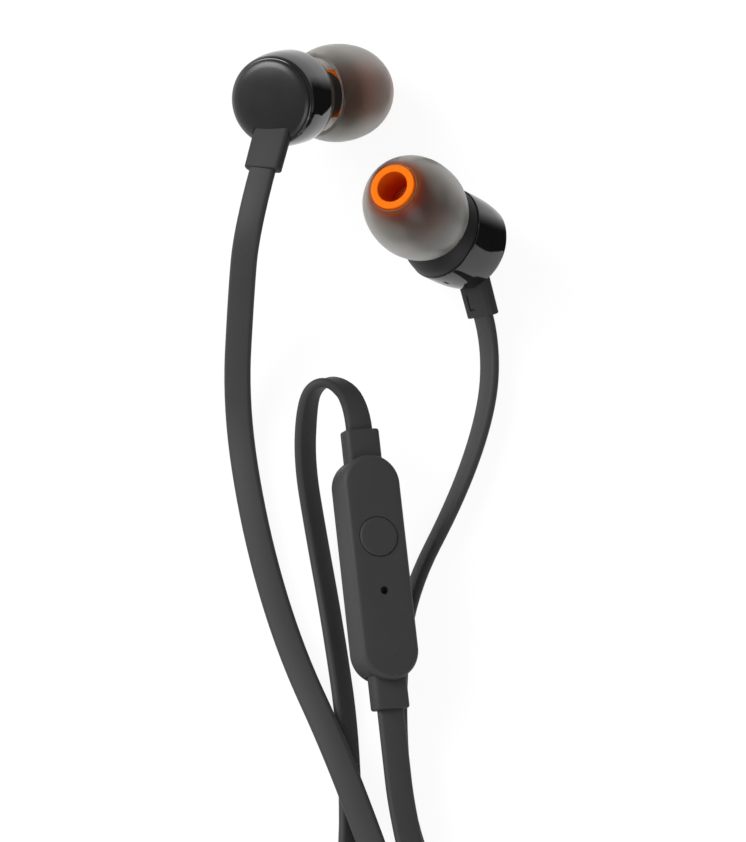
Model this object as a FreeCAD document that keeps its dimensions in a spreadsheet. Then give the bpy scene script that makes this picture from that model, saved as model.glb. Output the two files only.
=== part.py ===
import FreeCAD, Part
import math
import os

import Sketcher
from FreeCAD import Placement, Rotation, Vector

# Wired in-ear earphones with a flat cord, an in-line remote and a 3.5 mm four-pole plug.
# Millimetres, +Z up. The two earpieces lie on the surface z = 0 and the part's origin is the
# bottom centre of the box round them. Each earpiece has its own frame: z along the barrel
# towards the ear, z = 0 at the seam between housing and front shell, y towards the cord.

doc = FreeCAD.newDocument("earphones")
sheet = doc.addObject("Spreadsheet::Sheet", "Sizes")

SIZES = [
    # earpiece, outside
    ("barrel_front_radius", 5.76, "housing at the seam"),
    ("barrel_mid_bulge", 0.04, "how much fuller the housing is at its middle"),
    ("barrel_shoulder_taper", 0.09, "how much slimmer the housing is where its shoulder starts"),
    ("barrel_rear_taper", 0.36, "how much slimmer housing and cap are where they meet"),
    ("barrel_mid_depth", 2.20, "seam to the housing's middle"),
    ("barrel_shoulder_depth", 4.20, "seam to the start of the shoulder"),
    ("barrel_depth", 5.49, "seam to the housing's rear edge"),
    ("barrel_wall", 0.96, "wall of the housing"),
    ("fit_gap", 0.05, "clearance of a seated piece"),
    ("cap_height", 1.00, "housing to the cap's face"),
    ("cap_shoulder", 0.26, "how much slimmer the cap's foot gets down to its groove"),
    ("cap_foot", 0.42, "housing to the groove round the disc"),
    ("cap_groove", 0.12, "width and depth of the groove round the disc"),
    ("cap_step", 0.40, "housing's rear edge in to the edge of the disc"),
    ("cap_slope", 0.45, "slope round the disc's face"),
    ("cap_plate", 0.94, "thickness of the disc"),
    ("spigot_length", 0.85, "spigots of the cap and the front shell"),
    ("spigot_wall", 0.60, "wall of both spigots"),
    # earpiece, front shell and nozzle
    ("front_edge_step", 0.49, "seam in to the place where the front shell's slope starts"),
    ("front_edge_height", 1.42, "seam to the start of the slope"),
    ("front_slope_height", 2.50, "height of the slope"),
    ("front_wall", 0.80, "wall of the front shell"),
    ("nozzle_bend", 18.8, "degrees between barrel and nozzle"),
    ("nozzle_radius", 2.75, "foot of the nozzle"),
    ("nozzle_foot_end", 6.45, "seam centre to the shoulder, along the nozzle"),
    ("nozzle_neck_radius", 2.15, "neck inside the ear tip"),
    ("nozzle_lip_radius", 2.38, "lip that holds the ear tip"),
    ("nozzle_lip_length", 0.90, "length of the lip"),
    ("nozzle_length", 4.80, "shoulder to the mouth"),
    ("nozzle_bore", 1.45, "radius of the sound bore"),
    ("mesh_radius", 1.80, "acoustic mesh"),
    ("mesh_thickness", 0.25, "acoustic mesh"),
    ("mesh_setback", 0.05, "mouth to the mesh"),
    # ear tip, heights along the nozzle from the seam centre
    ("tip_bore_gap", 0.07, "bore of the ear tip round the lip"),
    ("tip_seat_gap", 0.15, "shoulder to the ear tip's foot"),
    ("tip_core_radius", 2.95, "outside of the stem"),
    ("tip_hole_radius", 1.85, "sound hole"),
    ("tip_ring_radius", 2.76, "front ring"),
    ("tip_end", 15.65, "front ring's face"),
    ("tip_inner_ledge", 1.60, "front face to the ledge in the bore"),
    ("tip_rim_height", 4.11, "rear rim of the skirt"),
    ("tip_rim_radius", 4.98, "rear rim of the skirt"),
    ("tip_wide_height", 7.72, "widest place"),
    ("tip_wide_radius", 6.05, "widest place"),
    ("tip_dome_height", 12.68, "shoulder of the dome"),
    ("tip_dome_radius", 5.04, "shoulder of the dome"),
    ("tip_wall", 0.60, "wall of the skirt"),
    ("tip_web", 1.10, "thickness of the dome at the stem"),
    # driver, depths behind the seam
    ("driver_gap", 0.05, "clearance between driver and housing"),
    ("flange_thickness", 0.75, "flange of the basket"),
    ("flange_lip", 0.30, "flange in under the diaphragm's edge"),
    ("basket_wall", 0.40, "wall of the basket's cup"),
    ("yoke_radius", 3.00, "outside of the yoke"),
    ("yoke_wall", 0.35, "wall and floor of the yoke"),
    ("yoke_height", 1.65, "height of the yoke"),
    ("magnet_radius", 1.95, "magnet"),
    ("magnet_height", 0.80, "magnet"),
    ("pole_radius", 2.02, "pole plate"),
    ("pole_height", 0.40, "pole plate"),
    ("coil_clearance", 0.12, "voice coil to the pole plate"),
    ("coil_wall", 0.28, "thickness of the voice coil"),
    ("coil_height", 1.05, "height of the voice coil"),
    ("coil_floor_gap", 0.35, "voice coil to the yoke's floor"),
    ("diaphragm_room", 0.40, "front spigot to the diaphragm"),
    ("diaphragm_thickness", 0.12, "diaphragm"),
    ("diaphragm_crown", 0.35, "height of the dome in the diaphragm"),
    ("diaphragm_gap", 0.30, "diaphragm to the flange"),
    ("board_radius", 3.00, "solder board"),
    ("board_thickness", 0.50, "solder board"),
    # strain relief of an earpiece
    ("relief_lean", 31.0, "degrees that the relief leans to the rear"),
    ("relief_exit", 6.98, "seam to the point where the relief's axis is as far out as the housing"),
    ("relief_root", 1.70, "barrel's radius less the relief's inner end along its axis"),
    ("relief_length", 5.30, "along its axis"),
    ("relief_side", 0.30, "how far the relief sits to one side"),
    ("relief_width", 4.60, "broad side"),
    ("relief_thickness", 1.60, "narrow side"),
    ("relief_round", 0.60, "radius of the long edges"),
    ("relief_gap", 0.10, "notch round the relief"),
    ("notch_reach", 0.32, "how much further the rear cap's notch reaches towards the seam"),
    ("groove_width", 0.25, "groove in the relief"),
    ("groove_depth", 0.20, "groove in the relief"),
    # remote
    ("remote_width", 7.20, "across"),
    ("remote_length", 27.0, "along the cord"),
    ("remote_thickness", 5.00, "both shells"),
    ("remote_round", 0.70, "radius of the face's edge"),
    ("remote_wall", 0.80, "wall of both shells"),
    ("button_radius", 2.34, "button"),
    ("button_gap", 0.06, "clearance round the button"),
    ("button_proud", 0.20, "button above the face"),
    ("button_flange", 0.45, "button's flange beyond its side"),
    ("button_flange_height", 0.45, "button's flange"),
    ("button_travel_gap", 0.10, "flange to the shell"),
    ("button_place", 3.55, "remote's centre to the button"),
    ("switch_side", 2.60, "switch under the button"),
    ("switch_gap", 0.35, "switch to the button"),
    ("mic_radius", 0.50, "sound hole of the microphone"),
    ("mic_place", 2.90, "remote's centre to the microphone"),
    ("capsule_radius", 1.45, "microphone capsule"),
    ("capsule_gap", 0.10, "capsule to the shell"),
    ("circuit_width", 4.60, "circuit board"),
    ("circuit_length", 20.5, "circuit board"),
    ("circuit_thickness", 0.70, "circuit board"),
    ("circuit_drop", 0.90, "remote's mid plane to the board's top"),
    ("end_relief_reach", 16.80, "remote's centre to the end of each relief"),
    ("end_relief_inner", 11.90, "remote's centre to the inner end"),
    ("end_relief_width", 4.35, "broad side"),
    ("end_relief_thickness", 2.60, "narrow side"),
    ("end_relief_gap", 0.08, "shell round the relief"),
    # cord
    ("cord_width", 3.00, "flat cord"),
    ("cord_thickness", 1.20, "flat cord"),
    # splitter and tie
    ("splitter_length", 12.0, "along the cord"),
    ("splitter_wide", 7.00, "end with two cords"),
    ("splitter_narrow", 4.40, "end with one cord"),
    ("splitter_thickness", 4.00, "height"),
    ("splitter_round", 0.80, "edges"),
    ("splitter_lead", 6.50, "straight run of both branches into it"),
    ("tie_width", 5.00, "band round the hank"),
    ("tie_thickness", 0.40, "band round the hank"),
    ("tie_gap", 0.25, "band to the hank"),
    # hank of the main cord
    ("hank_run", 60.0, "straight length between the half turns"),
    ("hank_radius", 13.2, "outermost half turn"),
    ("hank_pitch", 2.00, "step from turn to turn"),
    ("hank_layer", 3.50, "step between the two layers"),
    ("hank_waist", 3.00, "how far the runs are drawn in at the waist"),
    ("hank_x", 0.0, "centre"),
    ("hank_y", -158.0, "centre"),
    # plug
    ("pin_radius", 1.75, "3.5 mm pin"),
    ("pin_neck_radius", 1.20, "groove behind the tip"),
    ("pin_tip_length", 3.10, "tip contact"),
    ("pin_ring_length", 2.60, "each ring contact"),
    ("pin_sleeve_length", 4.50, "sleeve contact in front of the grip"),
    ("pin_band", 0.40, "each insulating band"),
    ("pin_root", 3.00, "sleeve inside the grip"),
    ("pin_root_radius", 1.40, "sleeve inside the grip"),
    ("pin_undercut", 0.20, "slim part of the sleeve in front of the grip"),
    ("grip_radius", 2.90, "grip"),
    ("grip_length", 14.5, "grip"),
    ("grip_round", 0.60, "grip's edges"),
    ("plug_relief_radius", 2.10, "plug's strain relief"),
    ("plug_relief_length", 7.50, "plug's strain relief"),
    # places in the layout; the origin is the bottom centre of the earpieces' box
    ("origin_x", 0.08, "of the part in the layout"),
    ("origin_y", -2.51, "of the part in the layout"),
    ("origin_z", 0.0, "of the part in the layout"),
    ("left_seam_x", -9.53, "left earpiece's seam centre"),
    ("left_seam_y", 5.74, "left earpiece's seam centre"),
    ("left_seam_z", 12.90, "left earpiece's seam centre"),
    ("right_seam_x", 8.91, "right earpiece's seam centre"),
    ("right_seam_y", -10.16, "right earpiece's seam centre"),
    ("right_seam_z", 8.39, "right earpiece's seam centre"),
    ("remote_x", 0.61, "remote's centre"),
    ("remote_y", -51.95, "remote's centre"),
    ("remote_z", 8.30, "remote's centre"),
    ("plug_x", -16.3, "plug's axis"),
    ("plug_y", -166.0, "plug's cord end"),
    ("plug_z", 2.95, "plug's axis above the surface"),
    ("splitter_x", 17.2, "splitter's middle"),
    ("splitter_y", -150.0, "splitter's end with two cords"),
    ("splitter_z", 2.10, "splitter's middle above the surface"),
]


class Size:
    """A number together with the expression that binds a feature to the sheet."""

    def __init__(self, text, value):
        self.text = text
        self.value = float(value)

    @staticmethod
    def of(item):
        return item if isinstance(item, Size) else Size(repr(float(item)), item)

    def _with(self, sign, other, value):
        return Size(f"({self.text} {sign} {other.text})", value)

    def __add__(self, other):
        other = Size.of(other)
        return self._with("+", other, self.value + other.value)

    def __sub__(self, other):
        other = Size.of(other)
        return self._with("-", other, self.value - other.value)

    def __mul__(self, other):
        other = Size.of(other)
        return self._with("*", other, self.value * other.value)

    def __truediv__(self, other):
        other = Size.of(other)
        return self._with("/", other, self.value / other.value)

    def __neg__(self):
        return Size(f"(0 - {self.text})", -self.value)

    def __radd__(self, other):
        return Size.of(other) + self

    def __rsub__(self, other):
        return Size.of(other) - self

    def __rmul__(self, other):
        return Size.of(other) * self

    def __float__(self):
        return self.value


def cosine(angle):
    return Size(f"cos({angle.text})", math.cos(math.radians(angle.value)))


def sine(angle):
    return Size(f"sin({angle.text})", math.sin(math.radians(angle.value)))


class Sheet:
    """The sheet's values, read by name."""


s = Sheet()
for row, (name, value, note) in enumerate(SIZES, 1):
    sheet.set(f"A{row}", note)
    sheet.set(f"B{row}", str(value))
    sheet.setAlias(f"B{row}", name)
    setattr(s, name, Size(f"Sizes.{name}", value))
doc.recompute()

# Sizes that follow from others.
s.barrel_mid_radius = s.barrel_front_radius + s.barrel_mid_bulge
s.barrel_shoulder_radius = s.barrel_front_radius - s.barrel_shoulder_taper
s.barrel_rear_radius = s.barrel_front_radius - s.barrel_rear_taper
s.cap_foot_radius = s.barrel_rear_radius - s.cap_shoulder
s.cap_disc_radius = s.barrel_rear_radius - s.cap_step
s.front_edge_radius = s.barrel_front_radius - s.front_edge_step
s.spigot_inner = s.barrel_front_radius - s.barrel_wall - s.fit_gap - s.spigot_wall
s.diaphragm_radius = s.spigot_inner - s.diaphragm_room
s.flange_hole = s.diaphragm_radius - s.flange_lip
s.relief_start = s.barrel_front_radius - s.relief_root
s.relief_end = s.relief_start + s.relief_length
s.relief_pivot = s.relief_exit - s.barrel_front_radius * sine(s.relief_lean) / cosine(s.relief_lean)

NODES = []


def bind(item, path, size):
    """Give a property its value and its expression."""
    size = Size.of(size)
    if "Sizes." in size.text:
        item.setExpression(path, size.text)


def body_of(name):
    """A new body whose label names its file."""
    body = doc.addObject("PartDesign::Body", name)
    body.Label = name
    NODES.append(body)
    return body


def plane_of(body, role):
    for item in body.Origin.OriginFeatures:
        if item.Role == role:
            return item


def sketch_in(body, role="XY_Plane", base=None, axis=None, angle=None):
    """A sketch on one of the body's own planes, moved and turned by bound offsets."""
    sketch = body.newObject("Sketcher::SketchObject", body.Name + "_sketch")
    sketch.AttachmentSupport = [(plane_of(body, role), "")]
    sketch.MapMode = "FlatFace"
    if base or axis:
        base = [Size.of(v) for v in (base or (0, 0, 0))]
        angle = Size.of(angle or 0)
        turn = Rotation(axis or Vector(0, 0, 1), angle.value)
        sketch.AttachmentOffset = Placement(Vector(*[v.value for v in base]), turn)
        for letter, value in zip("xyz", base):
            bind(sketch, f".AttachmentOffset.Base.{letter}", value)
        bind(sketch, ".AttachmentOffset.Rotation.Angle", angle)
    return sketch


def fix_point(sketch, geo, end, x, y):
    """Hold a point at bound distances from the sketch's origin."""
    for kind, axis, value in (("DistanceX", -2, Size.of(x)), ("DistanceY", -1, Size.of(y))):
        if value.text in ("0.0", "-0.0"):
            sketch.addConstraint(Sketcher.Constraint("PointOnObject", geo, end, axis))
        else:
            index = sketch.addConstraint(Sketcher.Constraint(kind, -1, 1, geo, end, value.value))
            bind(sketch, f"Constraints[{index}]", value)


def polygon(sketch, points):
    """A closed outline of straight lines."""
    flat = [(Size.of(x), Size.of(y)) for x, y in points]
    ends = [Vector(x.value, y.value, 0) for x, y in flat]
    first = len(sketch.Geometry)
    count = len(ends)
    for i in range(count):
        sketch.addGeometry(Part.LineSegment(ends[i], ends[(i + 1) % count]), False)
    for i in range(count):
        following = first + (i + 1) % count
        sketch.addConstraint(Sketcher.Constraint("Coincident", first + i, 2, following, 1))
    for i, (x, y) in enumerate(flat):
        fix_point(sketch, first + i, 1, x, y)
    return sketch


def circle(sketch, radius, x=0, y=0):
    """A circle with a bound radius and centre."""
    radius = Size.of(radius)
    x = Size.of(x)
    y = Size.of(y)
    centre = Vector(x.value, y.value, 0)
    geo = sketch.addGeometry(Part.Circle(centre, Vector(0, 0, 1), radius.value), False)
    fix_point(sketch, geo, 3, x, y)
    index = sketch.addConstraint(Sketcher.Constraint("Radius", geo, radius.value))
    bind(sketch, f"Constraints[{index}]", radius)
    return sketch


def rectangle(sketch, width, height, x=0, y=0):
    """A rectangle about a centre."""
    half = Size.of(width) * 0.5
    rise = Size.of(height) * 0.5
    x = Size.of(x)
    y = Size.of(y)
    corners = ((x - half, y - rise), (x + half, y - rise), (x + half, y + rise), (x - half, y + rise))
    return polygon(sketch, corners)


def stadium(sketch, width, length):
    """An upright outline with round ends."""
    radius = Size.of(width) * 0.5
    reach = Size.of(length) * 0.5 - radius
    r, c = radius.value, reach.value
    up = Vector(0, 0, 1)
    top = sketch.addGeometry(Part.ArcOfCircle(Part.Circle(Vector(0, c, 0), up, r), 0, math.pi), False)
    left = sketch.addGeometry(Part.LineSegment(Vector(-r, c, 0), Vector(-r, -c, 0)), False)
    low = Part.ArcOfCircle(Part.Circle(Vector(0, -c, 0), up, r), math.pi, 2 * math.pi)
    low = sketch.addGeometry(low, False)
    right = sketch.addGeometry(Part.LineSegment(Vector(r, -c, 0), Vector(r, c, 0)), False)
    for one, end, other, start in ((top, 2, left, 1), (left, 2, low, 1), (low, 2, right, 1), (right, 2, top, 1)):
        sketch.addConstraint(Sketcher.Constraint("Tangent", one, end, other, start))
    fix_point(sketch, top, 3, 0, reach)
    fix_point(sketch, low, 3, 0, -reach)
    index = sketch.addConstraint(Sketcher.Constraint("Radius", top, r))
    bind(sketch, f"Constraints[{index}]", radius)
    sketch.addConstraint(Sketcher.Constraint("Equal", top, low))
    return sketch


def revolve(body, points):
    """A ring or solid turned about the body's z axis from (radius, height) points."""
    sketch = polygon(sketch_in(body, "XZ_Plane"), points)
    feature = body.newObject("PartDesign::Revolution", body.Name + "_turned")
    feature.Profile = sketch
    feature.ReferenceAxis = (sketch, ["V_Axis"])
    feature.Angle = 360
    doc.recompute()
    return feature


def pad(body, sketch, length, reverse=False):
    feature = body.newObject("PartDesign::Pad", body.Name + "_pad")
    feature.Profile = sketch
    feature.Length = Size.of(length).value
    bind(feature, "Length", length)
    feature.Reversed = reverse
    doc.recompute()
    return feature


def cut(body, kind, name, set_up):
    """Add a cutting feature and make sure that it takes material away."""
    before = body.Shape.Volume
    feature = body.newObject(kind, body.Name + name)
    set_up(feature)
    doc.recompute()
    if not body.Shape.Volume < before - 1e-6:
        raise RuntimeError(f"{feature.Name} takes nothing away")
    return feature


def pocket(body, sketch, length, along=False):
    """A pocket against the sketch's normal, or along it."""

    def set_up(feature):
        feature.Profile = sketch
        feature.Length = Size.of(length).value
        bind(feature, "Length", length)
        feature.Reversed = along

    return cut(body, "PartDesign::Pocket", "_pocket", set_up)


def groove(body, points):
    """A turned cut about the body's z axis."""
    sketch = polygon(sketch_in(body, "XZ_Plane"), points)

    def set_up(feature):
        feature.Profile = sketch
        feature.ReferenceAxis = (sketch, ["V_Axis"])
        feature.Angle = 360

    return cut(body, "PartDesign::Groove", "_groove", set_up)


def fillet(body, radius, wanted):
    """Round the edges of the body's tip that the test picks."""
    tip = body.Tip
    names = [f"Edge{i}" for i, edge in enumerate(tip.Shape.Edges, 1) if wanted(edge)]
    if not names:
        raise RuntimeError(f"{body.Name}: no edge to round")
    feature = body.newObject("PartDesign::Fillet", body.Name + "_fillet")
    feature.Base = (tip, names)
    feature.Radius = Size.of(radius).value
    bind(feature, "Radius", radius)
    doc.recompute()
    return feature


def runs_along(edge, axis):
    """Is the edge a straight one along the axis?"""
    if len(edge.Vertexes) < 2 or edge.Curve.TypeId != "Part::GeomLine":
        return False
    way = edge.Vertexes[1].Point - edge.Vertexes[0].Point
    return way.Length > 1e-6 and abs(way.normalize().dot(axis)) > 0.9999


def lies_at(edge, axis, height):
    """Does the whole edge lie at one height along the axis?"""
    low, high = edge.ParameterRange
    places = [edge.valueAt(low + (high - low) * k / 4).dot(axis) for k in range(5)]
    return max(abs(p - height) for p in places) < 1e-4


X_AXIS = Vector(1, 0, 0)
Y_AXIS = Vector(0, 1, 0)
Z_AXIS = Vector(0, 0, 1)
ORIGIN = Vector(s.origin_x.value, s.origin_y.value, s.origin_z.value)


def frame_from(base, x, y, z):
    """The placement whose axes are three given directions."""
    matrix = FreeCAD.Matrix(x.x, y.x, z.x, 0, x.y, y.y, z.y, 0, x.z, y.z, z.z, 0, 0, 0, 0, 1)
    return Placement(base - ORIGIN, Placement(matrix).Rotation)


def square_frame(base, along, towards):
    """The placement with z along one direction and y as near as can be to another."""
    z = Vector(along).normalize()
    y = Vector(towards) - z * z.dot(Vector(towards))
    y.normalize()
    return frame_from(Vector(base), y.cross(z), y, z)


# Where the seam centres of the two earpieces lie, the way that each barrel points and the
# way that its cord leaves.
LEFT_SEAM = (s.left_seam_x.value, s.left_seam_y.value, s.left_seam_z.value)
RIGHT_SEAM = (s.right_seam_x.value, s.right_seam_y.value, s.right_seam_z.value)
EARPIECES = {
    "left": (1, square_frame(LEFT_SEAM, (0.3862, 0.3885, -0.8366), (-0.0414, -0.8988, -0.4365))),
    "right": (-1, square_frame(RIGHT_SEAM, (-0.6723, 0.1022, 0.7332), (-0.1068, -0.9935, 0.0405))),
}


def earpiece(side, sign, place):
    """All pieces of one earpiece; the sign says to which side the nozzle bends."""

    def start(name):
        body = body_of(f"{side}_{name}")
        body.Placement = place
        return body

    bend = s.nozzle_bend * sign

    def on_nozzle(body, height):
        """A sketch square to the nozzle, a height along it from the seam centre."""
        height = Size.of(height)
        base = (height * sine(bend), 0, height * cosine(bend))
        return sketch_in(body, "XY_Plane", base, Y_AXIS, bend)

    def on_relief(body, height):
        """A sketch square to the strain relief, a height along its axis."""
        height = Size.of(height)
        base = (s.relief_side * sign, height * cosine(s.relief_lean), -s.relief_pivot - height * sine(s.relief_lean))
        return sketch_in(body, "XY_Plane", base, X_AXIS, -90 - s.relief_lean)

    def notch(body, reach=0):
        """The way out for the strain relief, reaching further towards the seam if asked."""
        sketch = on_relief(body, s.relief_start - 0.6)
        height = s.relief_thickness + s.relief_gap * 2 + reach
        rectangle(sketch, s.relief_width + s.relief_gap * 2, height, 0, reach * -0.5)
        pocket(body, sketch, s.relief_end, along=True)

    bore = s.barrel_front_radius - s.barrel_wall
    spigot = bore - s.fit_gap
    rear = -s.barrel_depth

    body = start("housing")
    revolve(body, [
        (bore, 0), (s.barrel_front_radius, 0), (s.barrel_mid_radius, -s.barrel_mid_depth),
        (s.barrel_shoulder_radius, -s.barrel_shoulder_depth), (s.barrel_rear_radius, rear), (bore, rear),
    ])
    notch(body)

    body = start("rear_cap")
    face = rear - s.cap_height
    foot = rear - s.cap_foot
    edge = foot - s.cap_groove
    revolve(body, [
        (0, face), (s.cap_disc_radius - s.cap_slope, face), (s.cap_disc_radius, face + s.cap_slope * 0.6),
        (s.cap_disc_radius, edge), (s.cap_disc_radius - s.cap_groove, edge), (s.cap_disc_radius - s.cap_groove, foot),
        (s.cap_foot_radius, foot), (s.barrel_rear_radius, rear), (spigot, rear),
        (spigot, rear + s.spigot_length), (spigot - s.spigot_wall, rear + s.spigot_length),
        (spigot - s.spigot_wall, face + s.cap_plate), (0, face + s.cap_plate),
    ])
    notch(body, s.notch_reach)

    body = start("front_shell")
    slope_end = s.front_edge_height + s.front_slope_height
    revolve(body, [
        (0, 0), (spigot - s.spigot_wall, 0), (spigot - s.spigot_wall, -s.spigot_length), (spigot, -s.spigot_length),
        (spigot, 0), (s.barrel_front_radius, 0), (s.front_edge_radius, s.front_edge_height),
        (s.nozzle_neck_radius, slope_end), (0, slope_end),
    ])
    groove(body, [
        (0, 0), (spigot - s.spigot_wall, 0), (s.front_edge_radius - s.front_wall, s.front_edge_height - s.front_wall),
        (s.nozzle_bore, slope_end - s.front_wall * 1.6), (0, slope_end - s.front_wall * 1.6),
    ])
    foot = slope_end * 0.75
    pad(body, circle(on_nozzle(body, foot), s.nozzle_radius), s.nozzle_foot_end - foot)
    mouth = s.nozzle_foot_end + s.nozzle_length
    pad(body, circle(on_nozzle(body, s.nozzle_foot_end), s.nozzle_neck_radius), s.nozzle_length)
    lip = mouth - s.nozzle_lip_length
    pad(body, circle(on_nozzle(body, lip), s.nozzle_lip_radius), s.nozzle_lip_length)
    pocket(body, circle(on_nozzle(body, mouth), s.nozzle_bore), mouth - s.front_edge_height)
    seat = s.mesh_thickness + s.mesh_setback
    pocket(body, circle(on_nozzle(body, mouth), s.mesh_radius + s.fit_gap), seat)

    body = start("nozzle_mesh")
    pad(body, circle(on_nozzle(body, mouth - seat), s.mesh_radius), s.mesh_thickness)

    # Both pieces of the ear tip are turned in a frame of their own along the nozzle.
    turn = Rotation(Y_AXIS, bend.value)
    along_nozzle = place.multiply(Placement(Vector(), turn))
    tip_bore = s.nozzle_lip_radius + s.tip_bore_gap
    tip_foot = s.nozzle_foot_end + s.tip_seat_gap
    body = start("tip_core")
    body.Placement = along_nozzle
    web = s.tip_end - s.tip_web
    revolve(body, [
        (tip_bore, tip_foot), (s.tip_core_radius, tip_foot), (s.tip_core_radius, web), (s.tip_ring_radius, web),
        (s.tip_ring_radius, s.tip_end), (s.tip_hole_radius, s.tip_end),
        (s.tip_hole_radius, s.tip_end - s.tip_inner_ledge), (tip_bore, s.tip_end - s.tip_inner_ledge),
    ])

    body = start("tip_dome")
    body.Placement = along_nozzle
    wall = s.tip_wall
    flank = (s.tip_wide_height + s.tip_dome_height) * 0.5
    flank_radius = (s.tip_wide_radius + s.tip_dome_radius) * 0.5 + wall * 0.35
    crown = (s.tip_dome_height + s.tip_end) * 0.5
    crown_radius = (s.tip_dome_radius + s.tip_ring_radius) * 0.5 + wall * 0.55
    waist = (s.tip_rim_height + s.tip_wide_height) * 0.5
    waist_radius = (s.tip_rim_radius + s.tip_wide_radius) * 0.5 + wall * 0.3
    revolve(body, [
        (s.tip_rim_radius - wall, s.tip_rim_height), (s.tip_rim_radius, s.tip_rim_height),
        (waist_radius, waist), (s.tip_wide_radius, s.tip_wide_height), (flank_radius, flank),
        (s.tip_dome_radius, s.tip_dome_height), (crown_radius, crown), (s.tip_ring_radius, s.tip_end),
        (s.tip_ring_radius, web), (s.tip_core_radius, web), (s.tip_core_radius, web - wall),
        (crown_radius - wall, crown - wall * 2.2), (s.tip_dome_radius - wall * 1.2, s.tip_dome_height - wall),
        (flank_radius - wall, flank), (s.tip_wide_radius - wall, s.tip_wide_height), (waist_radius - wall, waist),
    ])

    # Driver: basket against the front spigot, yoke in the basket's cup, magnet and pole plate in
    # the yoke, and the voice coil with its diaphragm free to move along the barrel.
    basket_radius = bore - s.driver_gap
    flange_front = -s.spigot_length
    flange_rear = flange_front - s.flange_thickness
    yoke_front = flange_rear + s.yoke_wall
    yoke_floor = yoke_front - s.yoke_height + s.yoke_wall
    cup_radius = s.yoke_radius + s.basket_wall

    body = start("driver_basket")
    revolve(body, [
        (s.flange_hole, flange_front), (basket_radius, flange_front), (basket_radius, flange_rear),
        (cup_radius, flange_rear), (cup_radius, yoke_front - s.yoke_height), (s.yoke_radius, yoke_front - s.yoke_height),
        (s.yoke_radius, flange_rear + s.yoke_wall), (s.flange_hole, flange_rear + s.yoke_wall),
    ])

    body = start("driver_yoke")
    revolve(body, [
        (0, yoke_front - s.yoke_height), (s.yoke_radius, yoke_front - s.yoke_height), (s.yoke_radius, yoke_front),
        (s.yoke_radius - s.yoke_wall, yoke_front), (s.yoke_radius - s.yoke_wall, yoke_floor), (0, yoke_floor),
    ])

    body = start("driver_magnet")
    top = yoke_floor + s.magnet_height
    revolve(body, [(0, yoke_floor), (s.magnet_radius, yoke_floor), (s.magnet_radius, top), (0, top)])

    body = start("pole_plate")
    front = top + s.pole_height
    revolve(body, [(0, top), (s.pole_radius, top), (s.pole_radius, front), (0, front)])

    coil_inner = s.pole_radius + s.coil_clearance
    coil_low = yoke_floor + s.coil_floor_gap
    membrane = flange_front + s.diaphragm_gap
    body = start("voice_coil")
    revolve(body, [
        (coil_inner, coil_low), (coil_inner + s.coil_wall, coil_low), (coil_inner + s.coil_wall, membrane),
        (coil_inner, membrane),
    ])

    body = start("diaphragm")
    crest = membrane + s.diaphragm_crown
    thick = s.diaphragm_thickness
    revolve(body, [
        (0, crest), (coil_inner * 0.6, crest - s.diaphragm_crown * 0.3), (coil_inner, membrane),
        (s.diaphragm_radius, membrane), (s.diaphragm_radius, membrane + thick), (coil_inner, membrane + thick),
        (coil_inner * 0.6, crest - s.diaphragm_crown * 0.3 + thick), (0, crest + thick),
    ])

    body = start("solder_board")
    rest = yoke_front - s.yoke_height
    revolve(body, [(0, rest - s.board_thickness), (s.board_radius, rest - s.board_thickness), (s.board_radius, rest), (0, rest)])

    body = start("strain_relief")
    sketch = on_relief(body, s.relief_start)
    pad(body, rectangle(sketch, s.relief_width, s.relief_thickness), s.relief_end - s.relief_start)
    lean = math.radians(s.relief_lean.value)
    way = Vector(0, math.cos(lean), -math.sin(lean))
    fillet(body, s.relief_round, lambda edge: runs_along(edge, way))
    # A shallow groove in the shape of an L on the side that faces the ear.
    face = s.relief_thickness * 0.5
    inset = s.relief_width * 0.25
    groove_start = s.relief_start + s.relief_length * 0.43
    groove_length = s.relief_length * 0.39
    leg = on_relief(body, groove_start)
    rectangle(leg, s.groove_width, s.groove_depth * 2, inset * -sign, -face)
    pocket(body, leg, groove_length, along=True)
    toe = on_relief(body, groove_start + groove_length - s.groove_width)
    rectangle(toe, s.groove_width * 3.5, s.groove_depth * 2, (inset - s.groove_width * 1.25) * -sign, -face)
    pocket(body, toe, s.groove_width, along=True)


for side, (sign, place) in EARPIECES.items():
    earpiece(side, sign, place)


# Remote: its frame has x across, y along the cord towards the earpiece and z out of the face.
REMOTE = frame_from(
    Vector(s.remote_x.value, s.remote_y.value, s.remote_z.value), Vector(0.9344, 0.1365, -0.3304), Vector(-0.1101, 0.9891, 0.0981),
    Vector(0.3402, -0.0553, 0.9387),
)


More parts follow.
